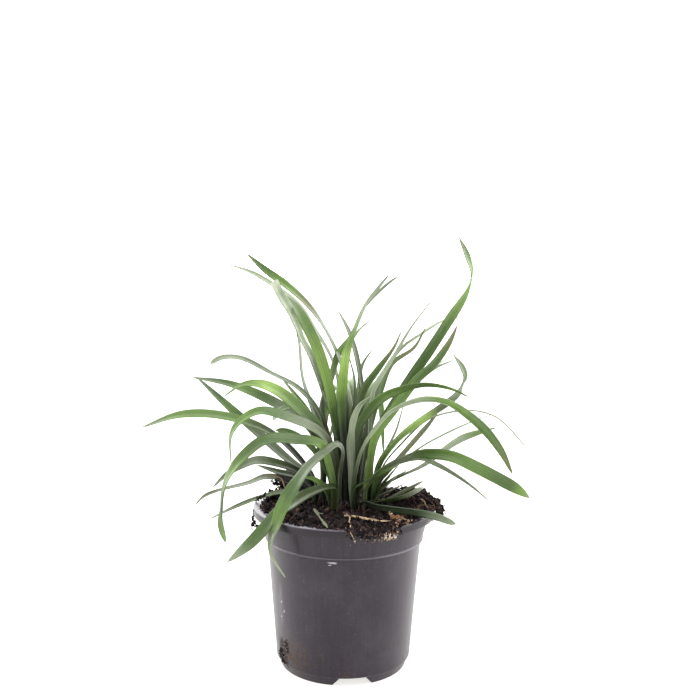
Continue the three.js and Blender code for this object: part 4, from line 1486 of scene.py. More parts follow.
@dataclass
class LooseLitter:
    """A straw fibre, two bark flakes and a scrap of dead leaf on the soil."""

    CREASE = 60.0
    FLAKE_CREASE = 40.0

    bench: Bench
    soil: SoilBed
    dry: CrumbFinish
    bark: CrumbFinish
    seed: int = 31

    def straw(self) -> None:
        """Makes the straw as a few strands that part and join."""
        main = (
            (0.5, -36.6, 0.7),
            (8, -37.6, 1.0),
            (14.5, -38.4, 1.1),
            (20.5, -38.6, 1.3),
            (26, -37.4, 1.8),
        )
        branch = ((8, -37.6, 1.0), (12.5, -36.2, 1.1), (18.5, -36, 1.2))
        hook = ((1.5, -37, 0.9), (3.4, -40.2, 1.0), (3.0, -43.4, 1.4), (3.6, -46.0, 2.4))
        # Course, shift aside, lift, radius and tone.
        strands = (
            (main, 0.0, 0.3, 0.74, T.STRAW),
            (main, 0.55, 0.65, 0.34, T.TAN),
            (main, -0.5, 0.6, 0.30, T.STRAW),
            (branch, 0.0, 0.4, 0.42, T.TAN),
            (hook, 0.0, 0.5, 0.36, T.TAN),
        )
        knobs = 24
        draw = random.Random(self.seed)
        mesh = toned_mesh()
        for points, aside, lift, radius, tone in strands:
            path = []
            for x, y, z in points:
                shifted = x + draw.uniform(-0.3, 0.3)
                height = self.soil.rise(x, y) + z + lift + draw.uniform(-0.2, 0.4)
                path.append(Vector((shifted, y + aside, height)))
            knobbly = [draw.uniform(0.75, 1.2) for _ in range(knobs)]

            def size(share: float) -> float:
                """The strand's radius at a share of its length."""
                return radius * knobbly[int(share * (knobs - 1))] * min(1.0, 6 * (1 - share) + 0.1)

            verts = sweep(mesh, Spine(path), size, sides=7, step=1.0, flat=0.6)
            paint(mesh, verts, tone.color)
        self.bench.put(mesh, "straw_fibre", self.dry.material(), "straw", ["straw"], self.CREASE)

    def flake(
        self,
        name: str,
        at: tuple[float, float],
        size: tuple[float, float, float],
        turn: float,
        rise: float,
    ) -> None:
        """Makes one split bark flake.

        Args:
            name: The solid that it stands for.
            at: Its place on the soil.
            size: Its length, width and height.
            turn: Its angle, in degrees.
            rise: How high its middle lies above the soil.
        """
        mesh = toned_mesh()
        bmesh.ops.create_cube(mesh, size=1.0)
        bmesh.ops.subdivide_edges(mesh, edges=mesh.edges, cuts=7, use_grid_fill=True)
        for vert in mesh.verts:
            grain = noise.noise(Vector((vert.co.x * 1.5, vert.co.y * 9, vert.co.z * 7 + at[0])))
            vert.co.z += 0.30 * grain
            vert.co.x += 0.10 * noise.noise(vert.co * 5)
            vert.co.y *= 1 - 0.5 * abs(vert.co.x) ** 1.5 + 0.2 * grain
        dark, light = T.BARK.color, T.EMBER.color
        for vert in mesh.verts:
            share = min(1, max(0, 0.5 + noise.noise(vert.co * 6)))
            paint(mesh, [vert], dark.lerp(light, share))
        x, y = at
        form = Matrix.Translation((x, y, self.soil.rise(x, y) + rise))
        form = form @ Matrix.Rotation(math.radians(turn), 4, "Z") @ Matrix.Diagonal((*size, 1.0))
        bmesh.ops.transform(mesh, matrix=form, verts=mesh.verts)
        skin = self.bark.material()
        self.bench.put(mesh, f"{name}_flake", skin, "bark", [name], self.FLAKE_CREASE)

    def scrap(self) -> None:
        """Makes the scrap of dead leaf, a long strip with a short one beside it."""
        faded = T.MIST.color.lerp(T.TAN.color, 0.2) * 0.55
        strips = (
            (((-17, -15.5, 94.6), (-13.6, -32, 94.9), (-9.3, -48, 94.4), (-8.6, -50.6, 94.1)), 1.0),
            (((-15.4, -24, 94.8), (-11.6, -26.5, 94.8)), 0.8),
        )
        mesh = toned_mesh()
        for points, radius in strips:

            def size(share: float) -> float:
                """The strip's radius at a share of its length."""
                ripple = 0.75 + 0.25 * math.sin(9 * share)
                return radius * ripple * min(1.0, 5 * (1 - share) + 0.3)

            spine = Spine([Vector(point) for point in points])
            paint(mesh, sweep(mesh, spine, size, sides=8, step=1.2, flat=0.3), faded)
        skin = self.dry.material()
        self.bench.put(mesh, "dead_leaf_scrap", skin, "litter", ["leaf_litter"], self.CREASE)

    def build(self) -> None:
        """Makes all of it."""
        self.straw()
        self.flake("bark_chip_1", at=(31.5, -26.5), size=(7, 3.4, 1.6), turn=24, rise=1.5)
        self.flake("bark_chip_2", at=(28, -31.5), size=(5, 2.6, 1.4), turn=-12, rise=2.0)
        self.scrap()


# ---------- leaves ----------


@dataclass(frozen=True)
class Leaf:
    """One long leaf.

    Attributes:
        width: Its greatest width.
        points: What its keel passes through: x, y, z and the turn of the blade there. At 0
            degrees the face is square to the front, at 90 degrees it stands edge-on to it.
        tones: Shares of the length, each with the tone there.
        root: The tone at the root, by default SHADE, the painted shade of the clump's foot.
        tip: How it ends.
        taper: The share of its length at which a pointed leaf starts to narrow.
        underside: Whether the keel bulges towards the front.
        facing: The direction that the face looks in at a turn of 0.
    """

    ROOT_WIDTH = 0.56
    ROOT_END = (0.05, 0.5)
    POINT_LOSS = 0.88
    POINT_CURVE = 2.2
    POINT_LENGTH = 2.0
    BLUNT_LOSS = 0.3
    BLUNT_FROM = 0.7
    ROUNDING = 0.97
    ROUND_LENGTH = 0.8

    width: float
    points: Sequence[Sequence[float]]
    tones: Sequence[tuple[float, Tone]]
    root: Tone = T.SHADE
    tip: Tip = Tip.POINTED
    taper: float = 0.55
    underside: bool = False
    facing: Vector = FRONT

    def half_width(self, share: float, length: float) -> float:
        """Half of the blade's width.

        Args:
            share: The share of its length, from 0 at the root.
            length: The length of the whole blade.

        Returns:
            Half of the width there.
        """
        grown = self.ROOT_WIDTH + (1 - self.ROOT_WIDTH) * ease(share, *self.ROOT_END)
        half = self.width / 2 * grown
        if self.tip is Tip.POINTED:
            past = max(0.0, (share - self.taper) / (1 - self.taper))
            half *= 1 - self.POINT_LOSS * past**self.POINT_CURVE
            left = (1 - share) * length / self.POINT_LENGTH
            return max(0.05, half * min(1.0, 0.2 + 0.8 * left))
        past = max(0.0, (share - self.BLUNT_FROM) / (1 - self.BLUNT_FROM))
        half *= 1 - self.BLUNT_LOSS * past**2
        if self.tip is Tip.ROUND:
            gone = 1 - min(1.0, (1 - share) * length / (self.ROUND_LENGTH * self.width))
            half *= math.sqrt(1 - self.ROUNDING * gone**2)
        return half

    def tone(self, share: float) -> Vector:
        """Works out the blade's colour.

        Args:
            share: The share of its length, from 0 at the root.

        Returns:
            The colour there.
        """
        stops = [(0, self.root), *self.tones]
        color = self.root.color
        for (low, before), (high, after) in zip(stops, stops[1:]):
            if share >= low:
                color = before.color.lerp(after.color, ease(share, low, high))
        return color


@dataclass(frozen=True)
class Section:
    """A cross-section of a blade: the way from the root, its middle, directions and half width."""

    passed: float
    share: float
    middle: Vector
    side: Vector
    face: Vector
    half: float


@dataclass(frozen=True)
class Fan:
    """Leaves that arch away from a crown, drawn by rule between two angles, in degrees.

    Reach, apex and end are the least and the most that is drawn for how far a leaf goes, the
    height of its arch and the height of its tip. Stray and roll are degrees.
    """

    SOIL = 92
    FACE_UP = 90
    FACTOR = 1664525
    ADDED = 1013904223
    SPAN = 2**32
    COLORS = ((T.GREEN, T.DEEP), (T.MIST, T.GREEN), (T.DEEP, T.GREEN))

    count: int = 7
    first: float = 76.0
    last: float = 112.0
    width: float = 5.6
    reach: tuple[float, float] = (46, 74)
    apex: tuple[float, float] = (128, 160)
    end: tuple[float, float] = (98, 126)
    stray: float = 3
    roll: float = 28
    seed: int = 41

    def draws(self) -> Callable[[float, float], float]:
        """Starts repeatable draws, the same as those that the solids are made with.

        Returns:
            What draws a number between two others.
        """
        state = self.seed

        def draw(low: float, high: float) -> float:
            """Draws a number.

            Args:
                low: The least that it can be.
                high: The most that it can be.

            Returns:
                The number.
            """
            nonlocal state
            state = (state * self.FACTOR + self.ADDED) % self.SPAN
            return low + (high - low) * state / self.SPAN

        return draw

    def leaves(self, crown: tuple[float, float]) -> list[Leaf]:
        """Draws the leaves.

        Args:
            crown: The place of the crown that they grow from.

        Returns:
            The leaves.
        """
        draw = self.draws()
        made = []
        for i in range(self.count):
            share = i / (self.count - 1)
            degrees = self.first + (self.last - self.first) * share + draw(-self.stray, self.stray)
            reach, apex, end = draw(*self.reach), draw(*self.apex), draw(*self.end)
            roll = draw(-self.roll, self.roll)
            out = around(math.radians(degrees))
            climb = apex - self.SOIL
            # Distance from the crown, height and turn.
            rows = (
                (4, self.SOIL + 0.25 * climb, roll / 2),
                (0.2 * reach, self.SOIL + 0.7 * climb, roll / 2),
                (0.55 * reach, apex, roll),
                (0.85 * reach, (2 * apex + end) / 3, roll),
                (reach, end, 1.2 * roll),
            )
            # The leaf faces across its arch, and a quarter turn lays its face upwards.
            points = [
                (crown[0] + out.x * d, crown[1] + out.y * d, z, self.FACE_UP + turn)
                for d, z, turn in rows
            ]
            middle, last = self.COLORS[i % len(self.COLORS)]
            tones = ((0.3, T.DUSK), (0.6, middle), (0.9, middle), (1, last))
            made.append(Leaf(self.width, points, tones, facing=UP.cross(out)))
        return made


@dataclass
class Tuft:
    """A leafy shoot: a short sheathed crown with long leaves.

    Attributes:
        name: Its name, which also seeds its draws.
        crown: The x and y of the crown.
        leaves: Its leaves.
        fan: More leaves that are drawn by rule.
        root_offset: How far from the crown's middle a leaf starts, at most.
        fold: The angle of each half of a blade to its face, in degrees.
        sink: The keel's place in the fold, as a share of half the width.
        middle: The x and y of the middle of the painted shade in the clump, and its spread.
        gloom: How much the painted shade darkens the leaves there.
    """

    WAVE = 0.05
    WAVE_PACE = (0.10, 0.22)
    KEEL_ROUND = 0.2
    KEEL_SCALE = 1.22
    DRY_FROM = 0.985
    GLOOM_HEIGHTS = (100, 150)
    SHEATH_FOOT = 86

    name: str
    crown: tuple[float, float]
    leaves: Sequence[Leaf]
    fan: Fan | None = None
    thickness: float = 0.5
    root: float = 85.0
    root_offset: float = 2.0
    fold: float = 16.0
    sink: float = 0.5
    columns: int = 8
    row: float = 2.2
    middle: tuple[float, float, float] = (2.0, 6.0, 20.0)
    gloom: float = 0.6
    sheath_count: int = 5

    def sections(self, leaf: Leaf) -> list[Section]:
        """Cuts a leaf's course into sections.

        Args:
            leaf: The leaf.

        Returns:
            The sections from root to tip.
        """
        x, y, _, turn = leaf.points[0]
        toward = Vector((x - self.crown[0], y - self.crown[1]))
        if toward.length > 0:
            toward = toward.normalized() * min(self.root_offset, toward.length)
        root = (self.crown[0] + toward.x, self.crown[1] + toward.y, self.root, turn)
        stations = [root, *leaf.points]
        spine = Spine([Vector(station[:3]) for station in stations])
        rows = max(12, round(spine.length / self.row))
        made = []
        for row in range(rows + 1):
            share = row / rows
            t = spine.passed(share)
            along = spine.tangent(t)
            place = t * (len(stations) - 1)
            near = min(int(place), len(stations) - 2)
            before, after = stations[near][3], stations[near + 1][3]
            turn = before + (after - before) * (place - near)
            face = (leaf.facing - along * leaf.facing.dot(along)).normalized()
            face.rotate(Matrix.Rotation(math.radians(turn), 3, along))
            half = leaf.half_width(share, spine.length)
            passed = share * spine.length
            made.append(Section(passed, share, spine.point(t), along.cross(face), face, half))
        return made

    def blade(self, mesh: bmesh.types.BMesh, leaf: Leaf, number: int) -> None:
        """Adds one blade, folded along its keel and lightly waved at its edges.

        Args:
            mesh: The mesh that takes it.
            leaf: The leaf.
            number: Its number, which seeds its waves.
        """
        draw = random.Random(f"{self.name} {number}")
        sections = self.sections(leaf)
        rows = len(sections) - 1
        layers = [mesh.verts.layers.float[name] for name in BLADE_LAYERS]
        tone_layer = mesh.verts.layers.float_color[TONE_LAYER]
        grid = bmesh.ops.create_grid(mesh, x_segments=self.columns, y_segments=rows, size=1.0)
        phase, pace = draw.uniform(0, 6.28), draw.uniform(*self.WAVE_PACE)
        bright = draw.uniform(0.9, 1.1)
        fold = math.radians(-self.fold if leaf.underside else self.fold)
        for vert in grid["verts"]:
            cut = sections[round((vert.co.y + 1) / 2 * rows)]
            across = vert.co.x
            swing = self.WAVE * math.sin(pace * cut.passed + phase)
            wave = swing * across * abs(across) * cut.half
            keel = math.sqrt(across**2 + self.KEEL_ROUND**2) - self.KEEL_ROUND
            rise = keel * self.KEEL_SCALE - self.sink
            vert.co = (
                cut.middle
                + cut.side * (across * cut.half * math.cos(fold))
                + cut.face * (cut.half * math.sin(fold) * rise + wave)
            )
            # The tone carries painted shade deep inside the clump.
            vert[tone_layer] = (*(leaf.tone(cut.share) * bright * self.painted_shade(cut.middle)), 1.0)
            dry = 1.0 if leaf.tip is Tip.CUT and cut.share > self.DRY_FROM else 0.0
            values = (across, across * leaf.width / 3, cut.passed, number * 3.7, dry)
            for layer, value in zip(layers, values):
                vert[layer] = value

    def painted_shade(self, place: Vector) -> float:
        """Darkens leaves deep inside the clump with painted shade, most low down near its middle.

        Args:
            place: A point of a leaf.

        Returns:
            The factor for its colour.
        """
        x, y, spread = self.middle
        aside = (Vector((place.x - x, place.y - y)).length / spread) ** 2
        return 1 - self.gloom * math.exp(-aside) * (1 - ease(place.z, *self.GLOOM_HEIGHTS))

    def sheaths(self) -> list[Leaf]:
        """Draws the short scales that wrap the foot of the crown.

        Returns:
            The scales, as short leaves.
        """
        draw = random.Random(self.name)
        foot = self.SHEATH_FOOT
        tones = ((0.6, T.BLUSH), (1, T.LOAM))
        made = []
        for _ in range(self.sheath_count):
            out = around(draw.uniform(0, FULL_TURN))
            top = draw.uniform(93, 97.5)
            points = [
                (self.crown[0] + out.x * d, self.crown[1] + out.y * d, z, 0)
                for d, z in ((2.6, foot), (3.0, (foot + top) / 2), (3.2, top))
            ]
            width = draw.uniform(3.2, 4.4)
            made.append(Leaf(width, points, tones, root=T.BLUSH, facing=out))
        return made

    def build(self, bench: Bench, skin: bpy.types.Material) -> None:
        """Makes the tuft.

        Args:
            bench: Where pieces are put.
            skin: The leaves' finish.
        """
        mesh = toned_mesh()
        for name in BLADE_LAYERS:
            mesh.verts.layers.float.new(name)
        drawn = self.fan.leaves(self.crown) if self.fan else ()
        for number, leaf in enumerate([*self.leaves, *drawn, *self.sheaths()]):
            self.blade(mesh, leaf, number)
        piece = bench.put(mesh, f"{self.name}_leaves", skin, "leaf", [f"tuft_{self.name}"])
        body = piece.modifiers.new("body", "SOLIDIFY")
        body.thickness = self.thickness * METRES
        body.offset = 0.0


# The tuft at the left front.
FRONT_LEFT = Tuft("front_left", (-5, -3), [
    # Broad leaf that folds over and hangs down outside the rim.
    # The MIST stop on its fold is a painted highlight.
    Leaf(7.8, [
        (-3, -4, 112, 66), (-1.6, -5.5, 126.5, 76), (-4.4, -8, 130, 75), (-9, -11, 128.2, 72),
        (-14.5, -16, 124.6, 66), (-20.7, -22.5, 119.6, 57), (-25.5, -29, 114, 44),
        (-29.4, -34, 109, 24), (-33.7, -39, 101.5, 8), (-36.5, -42, 93.4, 26),
        (-39.2, -43.5, 85.5, 52), (-39, -43.8, 77.5, 62), (-31.6, -42.5, 64, 60),
    ], [
        (0.25, T.DUSK), (0.34, T.MIST), (0.44, T.SLATE), (0.62, T.DEEP), (0.74, T.GREEN),
        (0.84, T.SLATE), (1, T.MIST),
    ]),
    # Leaf that lies over the rim at the left front.
    Leaf(7.2, [
        (-4.5, -6, 104, 80), (-9, -10, 106, 76), (-20, -17, 104, 52), (-28.5, -26.5, 100.4, 64),
        (-36.5, -35.5, 97.6, 52), (-43, -41.5, 90.8, 28), (-50, -47, 84.2, 22),
        (-61, -55, 76.5, 28),
    ], [(0.15, T.DUSK), (0.45, T.DUSK), (0.65, T.DEEP), (0.82, T.DEEP), (1, T.MIST)], taper=0.75),
    # Short young leaf at the foot.
    Leaf(4.6, [
        (-9, -3, 100, 40), (-12.5, -3, 104.6, 45), (-17.6, -2, 108.4, 50), (-23.5, -2, 109.4, 50),
    ], [(0.4, T.DEEP), (0.7, T.FRESH), (1, T.GREEN)]),
    # Long arch to the left whose end hangs straight down.
    Leaf(6.6, [
        (-6, -4.5, 103, 25), (-8.4, -6, 115.4, 25), (-13.6, -10, 130.4, 34),
        (-27.3, -17, 134.8, 38), (-43.7, -28, 136.6, 36), (-56.5, -37, 127.2, 44),
        (-62.7, -40, 118, 62), (-65, -41.5, 110, 74), (-65.8, -42, 101, 82), (-66, -41.5, 92, 52),
        (-64.1, -40.3, 82.4, 36),
    ], [
        (0.07, T.OLIVE), (0.12, T.GREEN), (0.28, T.FRESH), (0.4, T.DEEP), (0.6, T.DEEP),
        (0.75, T.GREEN), (0.85, T.DUSK), (1, T.GREEN),
    ], root=T.BLUSH, taper=0.92),
    # Short leaf above that arch.
    Leaf(4.2, [
        (-9, -4, 112, 40), (-22, -5, 130.5, 50), (-33, -7, 137.4, 52), (-39.4, -8, 138, 50),
    ], [(0.5, T.DEEP), (0.75, T.GREEN), (1, T.DEEP)], tip=Tip.ROUND),
    # Broad light leaf with a long thin end.
    Leaf(7, [
        (-6, -1, 105, 30), (-8.5, 0, 122, 25), (-14.6, -2, 137, 25), (-25.7, -6, 150, 24),
        (-36.6, -13, 160.8, 22), (-47.1, -20, 166.4, 28), (-56.6, -25, 166.4, 55),
        (-65.4, -30, 161, 78),
    ], [
        (0.3, T.DUSK), (0.5, T.DEEP), (0.62, T.GREEN), (0.78, T.LIME), (0.9, T.GREEN), (1, T.GREEN),
    ]),
    # Arch to the left with a thin hanging end.
    Leaf(6, [
        (-4.5, -2, 106, 35), (-5.6, -2, 121, 35), (-13.7, -5, 136, 42), (-31.4, -14, 146.6, 44),
        (-46.8, -23, 151.8, 42), (-54.8, -27, 148.9, 40), (-60, -29, 143.8, 45),
        (-62.2, -31, 138, 62), (-62, -32, 124.3, 76),
    ], [(0.3, T.DUSK), (0.5, T.SLATE), (0.65, T.DEEP), (0.8, T.GREEN), (1, T.SLATE)]),
])

# The tuft at the right front.
FRONT_RIGHT = Tuft("front_right", (8, -4), [
    # Upright grey-green leaf that shows its underside.
    # Its MIST stop near the top is a painted highlight.
    Leaf(5.4, [
        (4, -5, 103, 40), (4.2, -6, 117, 26), (3.4, -7, 130.6, 24), (4, -8.6, 138, 48),
        (4.9, -10, 144.6, 30), (8.2, -15, 153.6, 35), (14.5, -22, 160.4, 45),
    ], [(0.15, T.SLATE), (0.5, T.SLATE), (0.8, T.MIST), (1, T.SLATE)], underside=True),
    # Green arch to the right.
    Leaf(6, [
        (5.4, -4, 112, 40), (6.4, -4, 136, 30), (14.2, -6, 150.5, 20), (22.4, -9, 158.4, 26),
        (32.3, -13, 163.4, 38), (43.1, -18, 166.6, 46), (52.7, -22, 166.4, 50),
        (60.6, -26, 164.6, 55), (66.8, -29, 161.6, 62),
    ], [
        (0.35, T.DUSK), (0.5, T.DEEP), (0.62, T.GREEN), (0.78, T.DEEP), (0.95, T.GREEN),
        (1, T.DEEP),
    ]),
    # Long pale arch to the right front.
    Leaf(6.2, [
        (5, -4.5, 102, 50), (7.2, -5, 117, 60), (11.2, -7, 129.4, 62), (22.5, -12, 146.5, 62),
        (29, -16, 152.4, 58), (43.2, -26, 159.2, 50), (55, -34, 159, 48), (64.6, -40, 154.1, 44),
        (74, -45, 146.6, 32), (82.4, -49, 136.1, 26), (88.4, -52, 124.5, 30),
    ], [
        (0.15, T.DUSK), (0.35, T.MIST), (0.55, T.MIST), (0.68, T.GREEN), (0.85, T.DEEP),
        (1, T.OLIVE),
    ], underside=True, taper=0.78),
    # Broad low arch to the right front.
    Leaf(7.1, [
        (13, -6.5, 106, 60), (23, -8, 117.2, 58), (38, -13, 125.4, 44), (47.5, -20, 128, 20),
        (59, -28, 128.4, 12), (71.9, -35, 123.9, 8), (83.1, -40, 119, 8), (92.8, -44, 114.2, 10),
        (98.7, -47, 110.4, 15),
    ], [
        (0.2, T.DUSK), (0.38, T.SLATE), (0.5, T.DEEP), (0.7, T.GREEN), (0.9, T.DEEP),
        (0.97, T.FRESH), (1, T.MIST),
    ], taper=0.88),
    # Short leaf that crosses in front of the stems.
    Leaf(4.6, [
        (5, -4, 103, 84), (12.6, -6, 108.4, 74), (19.5, -6.5, 113.6, 40), (26, -6.8, 117.4, 16),
        (32.2, -7, 120.3, 12),
    ], [(0.5, T.DEEP), (0.8, T.GREEN), (1, T.MIST)], root=T.DEEP, tip=Tip.ROUND),
    # Thin arch below the broad one.
    Leaf(4.8, [
        (12, -3.5, 103, 60), (28, -4, 117.4, 62), (43.3, -10, 123.2, 52), (51.7, -14, 120.9, 44),
        (62.4, -19, 115.8, 52), (72, -24, 109.8, 64), (79.2, -29, 104.1, 72),
    ], [(0.3, T.DUSK), (0.55, T.MIST), (0.8, T.SLATE), (1, T.SLATE)]),
    # Leaf that lies on the soil and over the rim.
    Leaf(6.4, [
        (9, -5.6, 93.5, 60), (11.5, -9.5, 97, 46), (18, -17.5, 96.9, 38), (26, -22.5, 96.9, 38),
        (34.6, -26, 96.8, 40), (44, -29.5, 96.4, 38), (52.4, -32.5, 95.2, 36),
        (61, -35.5, 92.4, 38),
    ], [(0.3, T.SHADE), (0.5, T.PINE), (0.75, T.PINE), (0.9, T.SLATE), (1, T.MIST)], tip=Tip.ROUND),
    # Two short leaves over the soil heap, one behind the other.
    Leaf(2.9, [
        (10.8, -3.8, 92.5, 60), (14, -3.6, 94.8, 58), (19, -3.5, 95.6, 55), (25, -4, 97.4, 52),
        (34, -4, 102.4, 46), (45.6, -4, 108.6, 40),
    ], [(0.4, T.DUSK), (0.7, T.SLATE), (0.9, T.SLATE), (1, T.MIST)], taper=0.8),
    Leaf(4, [
        (11, -2.6, 93.6, 55), (15, -1.8, 95.4, 52), (26, -1, 96.2, 50), (36, -0.8, 99, 36),
        (45.6, -0.6, 104, 24),
    ], [(0.6, T.DUSK), (0.8, T.MIST), (1, T.PALE)], tip=Tip.ROUND),
])

# The tuft at the left.
LEFT = Tuft("left", (-14, 9), [
    # Longest leaf to the far left.
    Leaf(6, [
        (-18, 12, 104, 60), (-23.5, 14, 112.6, 60), (-42.9, 19, 130.3, 64), (-71, 25, 139.6, 44),
        (-99.3, 29, 139.9, 44), (-123.8, 32, 131.3, 55),
    ], [(0.3, T.SHADE), (0.45, T.DUSK), (0.6, T.GREEN), (0.85, T.GREEN), (1, T.SLATE)], taper=0.7),
    # Leaf to the left and back.
    Leaf(6.4, [
        (-14, 15, 118, 55), (-18, 17, 130, 50), (-27, 22, 139.4, 46), (-45.6, 30, 149, 30),
        (-70.7, 38, 157.5, 42), (-95, 45, 160.4, 55),
    ], [
        (0.35, T.DUSK), (0.5, T.SLATE), (0.65, T.DEEP), (0.75, T.GREEN), (0.85, T.DEEP),
        (1, T.SLATE),
    ]),
    # Straight leaf that leans far out to the back left.
    Leaf(6, [
        (-17, 16, 101, 50), (-22.6, 19, 106.4, 46), (-35, 27, 113.8, 44), (-52.2, 37, 126.2, 36),
        (-75, 48, 143.6, 32), (-94.8, 60, 158.5, 50),
    ], [
        (0.3, T.SLATE), (0.5, T.SLATE), (0.65, T.DEEP), (0.75, T.GREEN), (0.85, T.DEEP),
        (1, T.SLATE),
    ]),
    # Narrow leaf with a blunt end.
    Leaf(4.4, [
        (-11.5, 8, 116, 60), (-11.6, 8, 131, 60), (-15.5, 8, 145.6, 60), (-27, 9, 159.4, 66),
        (-44, 11, 168.4, 74), (-61.7, 12, 176.8, 60), (-73, 12, 176.8, 42), (-79.3, 12, 173.2, 38),
    ], [(0.4, T.DUSK), (0.6, T.SLATE), (0.8, T.SLATE), (0.92, T.MIST), (1, T.MIST)], tip=Tip.ROUND),
    # Short leaf between the long ones.
    Leaf(4.8, [
        (-13, 12, 112, 55), (-14.5, 13, 122, 55), (-20.5, 14, 141.4, 50), (-27.4, 15, 151.8, 50),
        (-38, 16, 165, 58),
    ], [(0.5, T.DUSK), (0.8, T.GREEN), (1, T.MIST)]),
    # Short leaf whose bent end points down.
    Leaf(4.6, [
        (-13, 6, 118, 50), (-19, 4.5, 135, 50), (-28, 3, 149.6, 48), (-37.2, 2, 148, 45),
        (-41.8, 2, 141.8, 48),
    ], [(0.5, T.DUSK), (0.8, T.DEEP), (1, T.MIST)], tip=Tip.ROUND),
    # Dark low arch.
    Leaf(6, [
        (-19, 10.5, 102, 60), (-28, 12, 109.8, 58), (-35, 12, 112.8, 54), (-51.3, 12, 116, 50),
        (-60.7, 12, 112.8, 46), (-69.5, 11, 107.8, 42), (-77.8, 10, 100, 50),
    ], [(0.35, T.SHADE), (0.5, T.DUSK), (0.65, T.SLATE), (0.8, T.DUSK), (1, T.SLATE)]),
    # Short low leaf behind it.
    Leaf(4.8, [
        (-20, 14, 100, 60), (-30, 17, 105.5, 58), (-40, 19, 107.4, 56), (-53, 21, 111, 66),
    ], [(0.5, T.SHADE), (0.8, T.DUSK), (1, T.SLATE)]),
    # Thin brownish low leaf.
    Leaf(4.6, [
        (-20, 12.5, 96.5, 50), (-26, 15, 99, 50), (-38.5, 18, 103.8, 52), (-48.2, 18.5, 104.4, 60),
        (-57.3, 19, 100.6, 74), (-76.6, 20, 95.2, 76), (-84.4, 20, 92, 50), (-90, 20, 86.4, 55),
    ], [(0.2, T.OLIVE), (0.35, T.SLATE), (0.55, T.SLATE), (0.85, T.DUSK), (1, T.SLATE)]),
    # Thin leaf that rests above the rim.
    Leaf(3.8, [
        (-19, 7.5, 95.5, 62), (-28, 7, 97.5, 66), (-37.8, 6, 98.2, 66), (-50.7, 5, 95, 68),
        (-62.4, 5, 90.4, 66), (-79.4, 5, 82, 72),
    ], [(0.3, T.SLATE), (0.5, T.DUSK), (0.75, T.DUSK), (1, T.SLATE)]),
    # Stumps of old leaves.
    Leaf(6, [
        (-19, 13, 96, 30), (-30, 16, 102, 25), (-41, 17, 104.5, 20),
    ], [(0.6, T.PEAT), (1, T.LOAM)], root=T.PEAT, tip=Tip.CUT),
    Leaf(5, [
        (-18, 15, 97, 40), (-27, 20, 103, 35), (-36, 24, 107, 30),
    ], [(0.6, T.EARTH), (1, T.BROWN)], root=T.PEAT, tip=Tip.CUT),
])

